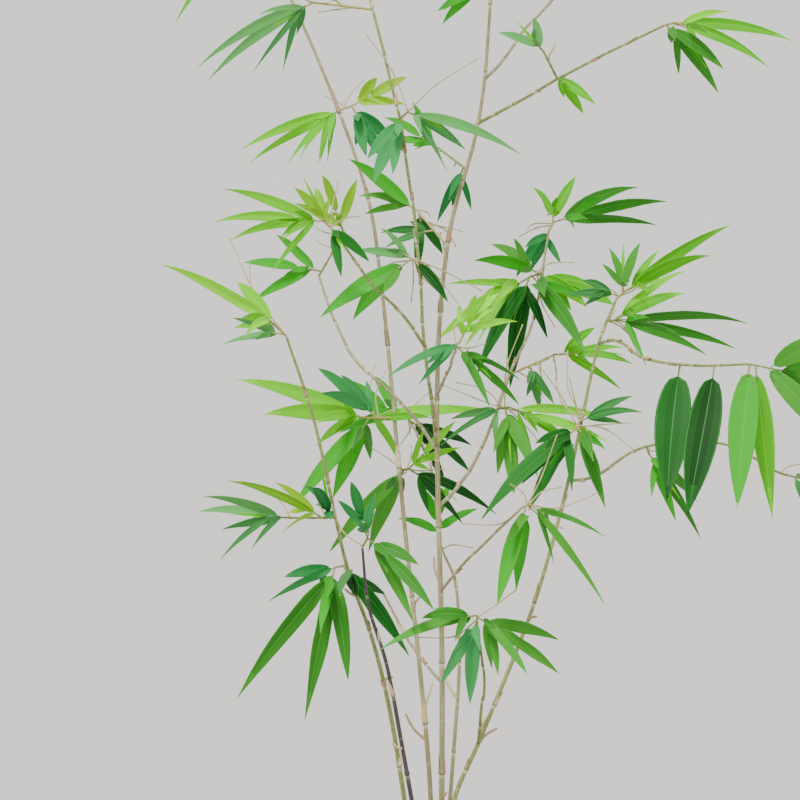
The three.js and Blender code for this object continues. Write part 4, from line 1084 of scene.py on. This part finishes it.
def blade_lift(half, fold, wave, u):
    """How far a blade's face stands up: its fold rises with the way from the midrib, its edges wave."""
    return half[..., None] * (fold[..., None] * np.abs(u) + wave[..., None] * u * np.abs(u))


def blade_places(some_leaves, seed, calm):
    """The places of all leaves at once. Row by row across each, a place is the middle, plus the side times
    the half width and u, plus the face times the lift. The side rolls in over the first third and turns on
    with the twist. The middle sags with the square of the way, bends like a sickle, and stands in front of
    or behind its fan's other leaves near the foot. A calm of 0 to 1 lays the leaves flatter and further
    apart."""
    rng = np.random.default_rng(seed)
    count = len(some_leaves)
    root, direction, flat, square = (np.array([leaf[key] for leaf in some_leaves])[:, None]
                                     for key in ("root", "direction", "flat", "square"))
    length, width, droop, roll, layer = (np.array([leaf[key] for leaf in some_leaves])[:, None]
                                         for key in ("length", "width", "droop", "roll", "place"))
    rolled = np.array([leaf.get("rolled", False) for leaf in some_leaves])[:, None]
    share = BLADE_SHARES[None] * np.ones((count, 1))
    blunt = np.clip((width / length - 0.12) / 0.12, 0, 1)
    half = np.maximum(LEAST_HALF_WIDTH, width / 2 * blade_outline(share, blunt))
    ease = np.clip((share - 0.04) / 0.34, 0, 1)
    ease = ease * ease * (3 - 2 * ease)
    turned = roll * ease + np.radians(rng.uniform(-1, 1, (count, 1)) * lerp(*TWISTS, blunt)) * share
    turned = turned * (1 - 0.9 * calm)
    side = flat * np.cos(turned)[..., None] + square * np.sin(turned)[..., None]
    face = np.cross(direction, side)
    sickle = rng.uniform(-SICKLE, SICKLE, (count, 1)) * length * share ** 2
    fall = (droop * share ** 2 + 0.03 * share ** 5) * length
    middle = root + direction * (length * share)[..., None] - UP * fall[..., None] + side * sickle[..., None]
    bulge = LAYER_STEP * (1 + 1.5 * calm) * layer * np.sin(np.pi * np.minimum(1, share / 0.6) ** 0.7)
    middle = middle + square * bulge[..., None]
    fold = np.where(rolled, ROLLED_FOLD, rng.uniform(*FOLDS, (count, 1))) * (1.2 - 0.6 * share)
    waves = rng.uniform(*WAVE_COUNTS, (count, 1)) * share + rng.uniform(0, 1, (count, 1))
    wave = WAVE_HEIGHT * np.sin(2 * np.pi * waves)
    across = np.concatenate([BLADE_COLUMNS, UNDER_COLUMNS])
    lift = blade_lift(half, fold, wave, across[None, None])
    thick = BLADE_THICKNESS + 0.5 * (BLADE_SHARES < 0.06) + 0.2 * (BLADE_SHARES < 0.2)
    lift = lift - thick[None, :, None] * (np.arange(len(across)) >= len(BLADE_COLUMNS))
    rings = (middle[:, :, None] + side[:, :, None] * (half[..., None] * across)[..., None]
             + face[:, :, None] * lift[..., None])
    last_step = 1 - BLADE_SHARES[-1]
    last_fall = (droop * 2 + 0.12) * length * last_step
    tip = middle[:, -1] + direction[:, 0] * (length * last_step) - UP * last_fall
    return np.concatenate([rings.reshape(count, -1, 3), tip[:, None], middle[:, :1]], axis=1)


def blade_finishes(some_leaves, seed):
    """Finish numbers of the same faces: 0 to 2 the blade's shades, 3 to 5 the same by the midrib, 6 under,
    7 midrib and stalk, 8 edge, 9 dry tip. On most leaves the shade steps lighter or darker toward the tip,
    by the midrib a row sooner."""
    rng = np.random.default_rng(seed)
    count = len(some_leaves)
    first = np.array([(leaf["twig"] * 7 + (leaf["length"] > 80)) % 3 for leaf in some_leaves])[:, None]
    slope = rng.choice(SHADE_SLOPES, (count, 1))
    way = np.arange(BLADE_ROWS) / BLADE_ROWS - 0.5
    outer, inner = (SHADES_BY_LIGHT[np.clip(np.round(first + slope * (way + ahead)), 0, 2).astype(int)]
                    for ahead in (0, 1 / BLADE_ROWS))
    edge, rib, under = (np.full(outer.shape, finish) for finish in (8, 7, 6))
    above = [edge, outer, inner + 3, rib, inner + 3, outer, edge]
    blade = np.stack(above + [under] * (len(UNDER_COLUMNS) + 1), axis=-1)
    blade[:, 0] = 7
    blade[rng.uniform(0, 1, count) < DRY_TIP_CHANCE, -1] = 9
    return np.concatenate([blade[:, :-1].ravel(), blade[:, -1].ravel(), np.full(blade[:, 0].size, 7)])


def mixed_code(code, other, share):
    """A colour code moved by a share of the way to another, channel by channel, and never below 0."""
    pairs = [(int(code[k:k + 2], 16), int(other[k:k + 2], 16)) for k in (0, 2, 4)]
    return "".join(f"{round(max(0, lerp(one, two, share))):02x}" for one, two in pairs)


# Each leaf takes the first of its bends that crosses no limb and no leaf already in place, beyond the foot
# where a fan's leaves clasp their twig. Of those that find none, a small leaf is left out, and a fan's leaf
# keeps its first bend.
BENDS = 15
BEND_SEED = 300
SHADE_SEED = 400
bends = np.stack([blade_places(leaves, BEND_SEED + n, n / (BENDS - 1)) for n in range(BENDS)])
placed = []
placed_trees = []
placed_low = np.zeros((0, 3))
placed_high = np.zeros((0, 3))


def crosses(tree, low, high):
    """Whether a mesh within some bounds cuts a limb, or the free part of a leaf already in place."""
    near = np.flatnonzero((placed_low <= high).all(axis=1) & (placed_high >= low).all(axis=1))
    return any(tree.overlap(placed_trees[k]) for k in near) or any(tree.overlap(limb) for limb in limb_trees)


for number, leaf in enumerate(leaves):
    first_tree = None
    for n in range(BENDS):
        places = bends[n, number]
        low = places.min(axis=0)
        high = places.max(axis=0)
        tree = BVHTree.FromPolygons(places.tolist(), free_part)
        first_tree = first_tree or (tree, places, low, high)
        if not crosses(tree, low, high):
            break
    else:
        if leaf.get("small"):
            continue
        tree, places, low, high = first_tree
    placed.append(dict(leaf, places=places))
    placed_trees.append(tree)
    placed_low = np.vstack([placed_low, low])
    placed_high = np.vstack([placed_high, high])
leaves = placed

for number, (tint, (slot, shades, under, rib, edge, heart)) in enumerate(LEAF_TINTS.items()):
    some_leaves = [leaf for leaf in leaves if leaf["tint"] == tint]
    finishes = [plain_finish(f"leaf_{tint}_{k}", shade, 0.55) for k, shade in enumerate(shades)]
    finishes += [plain_finish(f"leaf_{tint}_near_rib_{k}", mixed_code(shade, rib, heart), 0.55)
                 for k, shade in enumerate(shades)]
    finishes += [plain_finish(f"leaf_{tint}_{part}", code, roughness) for part, code, roughness in
                 (("under", under, 0.62), ("rib", rib, 0.5), ("edge", edge, 0.5), ("tip", DRY_TIP, 0.7))]
    start = BLADE_COUNT * np.arange(len(some_leaves))[:, None, None]
    blade_faces = [(block[None] + start).reshape(-1, block.shape[1])
                   for block in (blade_rows.reshape(-1, 4), blade_point, blade_stalk)]
    places = np.vstack([leaf["places"] for leaf in some_leaves]) * MM
    piece = make_piece("leaves_" + tint, places, blade_faces, finishes,
                       blade_finishes(some_leaves, SHADE_SEED + number))
    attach(piece, "root")
    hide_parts(*sorted({twigs[leaf["twig"]]["shoot"] for leaf in some_leaves}))

# The twigs: thin stems and side twigs that carry the leaves, each with a few small swellings, and fine bare
# twigs whose leaves have dropped. These keep to the reach of their shoot, and more of them grow in the
# crowded middle. All are joined into one piece, straw to olive.
TWIG_SIDES = 7
TWIG_ROWS = 13
TWIG_SHADES = ("a09858", "858e4a", "aca070", "767f40", "b6aa7a")
BARE_SHADES = (2, 4, 4)
BARE_RADII = (0.82, 0.5)
BARE_SHARES = (0.4, 0.8)
BARE_PARTS = (0.45, 0.55)
BARE_ROOTS = (0.1, 1.0)
BARE_LEANS = (8, 75)
BARE_TURN = 20
BARE_KINK = 38
BARE_KINK_LEAN = 25
BARE_START = 0.16
BARE_SPOTS = 14
BARE_CLEAR = 0.9
BARE_TRIES = 8
BARE_TWIGS = 2
MIDDLE_TWIGS = 4
MIDDLE = (30, 0, 690)
MIDDLE_REACH = 190

bare = draws_from(93)
taken_now = joined([taken_now] + [leaf_spots(leaf, NEAR_TWIG) for leaf in small_leaves])
for name, shoot in SHOOTS.items():
    own_twigs = [twig for twig in twigs if twig["shoot"] == name]
    stem = own_twigs[0]["places"]
    longest = max(max(fan["long"]) for fan in shoot["fans"])
    turns = [turn for fan in shoot["fans"] for turn in fan["turn"]]
    crowded = np.linalg.norm(stem[0] - MIDDLE) < MIDDLE_REACH
    for number in range(0 if "roll" in shoot else BARE_TWIGS + MIDDLE_TWIGS * crowded):
        for n in range(BARE_TRIES):
            aim = lerp(min(turns) - BARE_TURN, max(turns) + BARE_TURN, next(bare))
            lean = shoot["lean"] + lerp(*BARE_LEANS, next(bare))
            length = longest * lerp(*BARE_SHARES, next(bare))
            root = route_place(stem, lerp(*BARE_ROOTS, next(bare)))
            kink = root + heading(aim, lean) * length * BARE_PARTS[0]
            aim = aim + lerp(-BARE_KINK, BARE_KINK, next(bare))
            lean = lean + lerp(-BARE_KINK_LEAN, BARE_KINK_LEAN, next(bare))
            way = np.array([root, kink, kink + heading(aim, lean) * length * BARE_PARTS[1]])
            centres = route_place(way, np.linspace(BARE_START, 1, BARE_SPOTS))
            radii = np.full(BARE_SPOTS, BARE_CLEAR)
            tube_share = np.linspace(BARE_START, 1, TWIG_ROWS)
            tube_radii = np.full(TWIG_ROWS, BARE_CLEAR)
            tube_places, tube_faces = ring_solid(limb_rings(way, tube_share, tube_radii, TWIG_SIDES))
            tube = face_tree(tube_places, tube_faces)
            free = not crosses(tube, tube_places.min(axis=0), tube_places.max(axis=0))
            if free and is_free(centres, radii, *taken_now, BARE_CLEAR):
                twigs.append(dict(places=way, radii=BARE_RADII, shoot=name, bare=True))
                taken_now = joined([taken_now, (centres, radii)])
                break

drawn_twigs = []
shoot_names = list(SHOOTS)
share = np.linspace(0, 1, TWIG_ROWS)
for number, twig in enumerate(twigs):
    knots = 2 if twig.get("bare") else 4
    to_knot = np.abs(share * knots - np.round(share * knots))
    knuckles = 1 + 0.4 * np.exp(-(to_knot / 0.13) ** 2) * (share > 0.1)
    shade = shoot_names.index(twig["shoot"]) * 3 % 4
    if twig.get("bare"):
        shade = BARE_SHADES[number % 3]
    radii = lerp(*twig["radii"], share) * knuckles
    drawn_twigs.append((limb_rings(twig["places"], share, radii, TWIG_SIDES), shade))
twig_finishes = [plain_finish(f"twig_{k}", shade, 0.55) for k, shade in enumerate(TWIG_SHADES)]
twig_places, twig_faces, twig_finish = joined_solids(drawn_twigs)
piece = make_piece("leaf_twigs", twig_places, twig_faces, twig_finishes, twig_finish)
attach(piece, "root")
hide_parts(*SHOOTS)

# The cut stubs: short ends of side stems that were pruned beside a node, dry, straw coloured and cut square.
# Each starts inside its cane, swells at its own nodes and bends slightly outward. Each row of STUBS is a
# cane, the height where the stub leaves it, its aim and lean in degrees, and its length.
STUB_RADII = (1.55, 1.05)
STUB_SIDES = 9
STUB_BEND = 9
STUB_ROWS = 25
STUB_SHADES = ("c9b98c", "b3a06e", "a89470")
STUBS = (
    ("cane_pale", 321, 84, 6, 60),
    ("cane_pale", 321, 128, -12, 36),
    ("cane_pale", 452, 60, 48, 20),
    ("cane_right", 322, 68, 10, 36),
    ("cane_right", 322, 38, 18, 26),
    ("cane_right", 446, 20, -46, 12),
    ("cane_short", 362, 112, 14, 42),
    ("cane_left", 385, 24, -20, 11),
    ("cane_left", 470, 150, 30, 16),
    ("cane_black", 318, 148, -30, 15),
    ("cane_main", 262, 58, -36, 12),
    ("cane_main", 482, 104, 28, 30),
)

stubs = []
share = np.linspace(0, 1, STUB_ROWS)
swell = 1 + 0.35 * np.exp(-((share - 0.16) / 0.04) ** 2) + 0.3 * np.exp(-((share - 0.72) / 0.05) ** 2)
for number, (cane, height, aim, lean, length) in enumerate(STUBS):
    carrier = limbs[cane]["places"]
    base = route_place(carrier, share_at_height(carrier, height))
    halves = [heading(aim + turn, lean) * length / 2 for turn in (STUB_BEND, -STUB_BEND)]
    way = np.array([base, base + halves[0], base + halves[0] + halves[1]])
    rings = limb_rings(way, share, lerp(*STUB_RADII, share) * swell, STUB_SIDES)
    stubs.append((rings, number % len(STUB_SHADES)))
stub_finishes = [plain_finish(f"stub_{k}", shade, 0.7) for k, shade in enumerate(STUB_SHADES)]
stub_places, stub_faces, stub_finish = joined_solids(stubs)
piece = make_piece("cut_stubs", stub_places, stub_faces, stub_finishes, stub_finish)
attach(piece, "root")

# The floor is a wide pale matt sheet. Under this light it looks like the sky, so its far edge doesn't show.
# A broad soft sun and an even pale sky light the plant. The camera stands level with the middle of the crown.
FLOOR_RADIUS = 90.0
FLOOR_SIDES = 96
SHEET = "c5c3bf"
CAMERA_PLACE = (-0.040, -8.0, 0.665)
CAMERA_LENS = 360
SUN_TURN = (38, 8, -28)
SUN_SPREAD = 14
SUN_STRENGTH = 3.8
SKY = "f3f2ee"
SKY_STRENGTH = 1.3

floor_angle = np.linspace(0, 2 * np.pi, FLOOR_SIDES, endpoint=False)
floor_ring = np.column_stack([FLOOR_RADIUS * np.cos(floor_angle), FLOOR_RADIUS * np.sin(floor_angle),
                              np.zeros(FLOOR_SIDES)])
sheet_material, _, sheet_shader = finish_with_nodes("pale_sheet")
sheet_shader.inputs["Base Color"].default_value = colour(SHEET)
sheet_shader.inputs["Roughness"].default_value = 0.9
sheet_shader.inputs["Specular IOR Level"].default_value = 0.1
floor = make_piece("floor_sheet", floor_ring, [np.arange(FLOOR_SIDES)[None]], [sheet_material])

sun = bpy.data.objects.new("soft_sun", bpy.data.lights.new("soft_sun", "SUN"))
sun.data.energy = SUN_STRENGTH
sun.data.angle = math.radians(SUN_SPREAD)
sun.rotation_euler = [math.radians(turn) for turn in SUN_TURN]
bpy.context.scene.collection.objects.link(sun)
sky = bpy.data.worlds.new("pale_sky")
sky.use_nodes = True
sky.node_tree.nodes["Background"].inputs["Color"].default_value = colour(SKY)
sky.node_tree.nodes["Background"].inputs["Strength"].default_value = SKY_STRENGTH
bpy.context.scene.world = sky

camera = bpy.data.objects.new("level_camera", bpy.data.cameras.new("level_camera"))
camera.location = CAMERA_PLACE
camera.rotation_euler = (math.radians(90), 0, 0)
camera.data.lens = CAMERA_LENS
camera.data.clip_end = 400
bpy.context.scene.collection.objects.link(camera)
bpy.context.scene.camera = camera
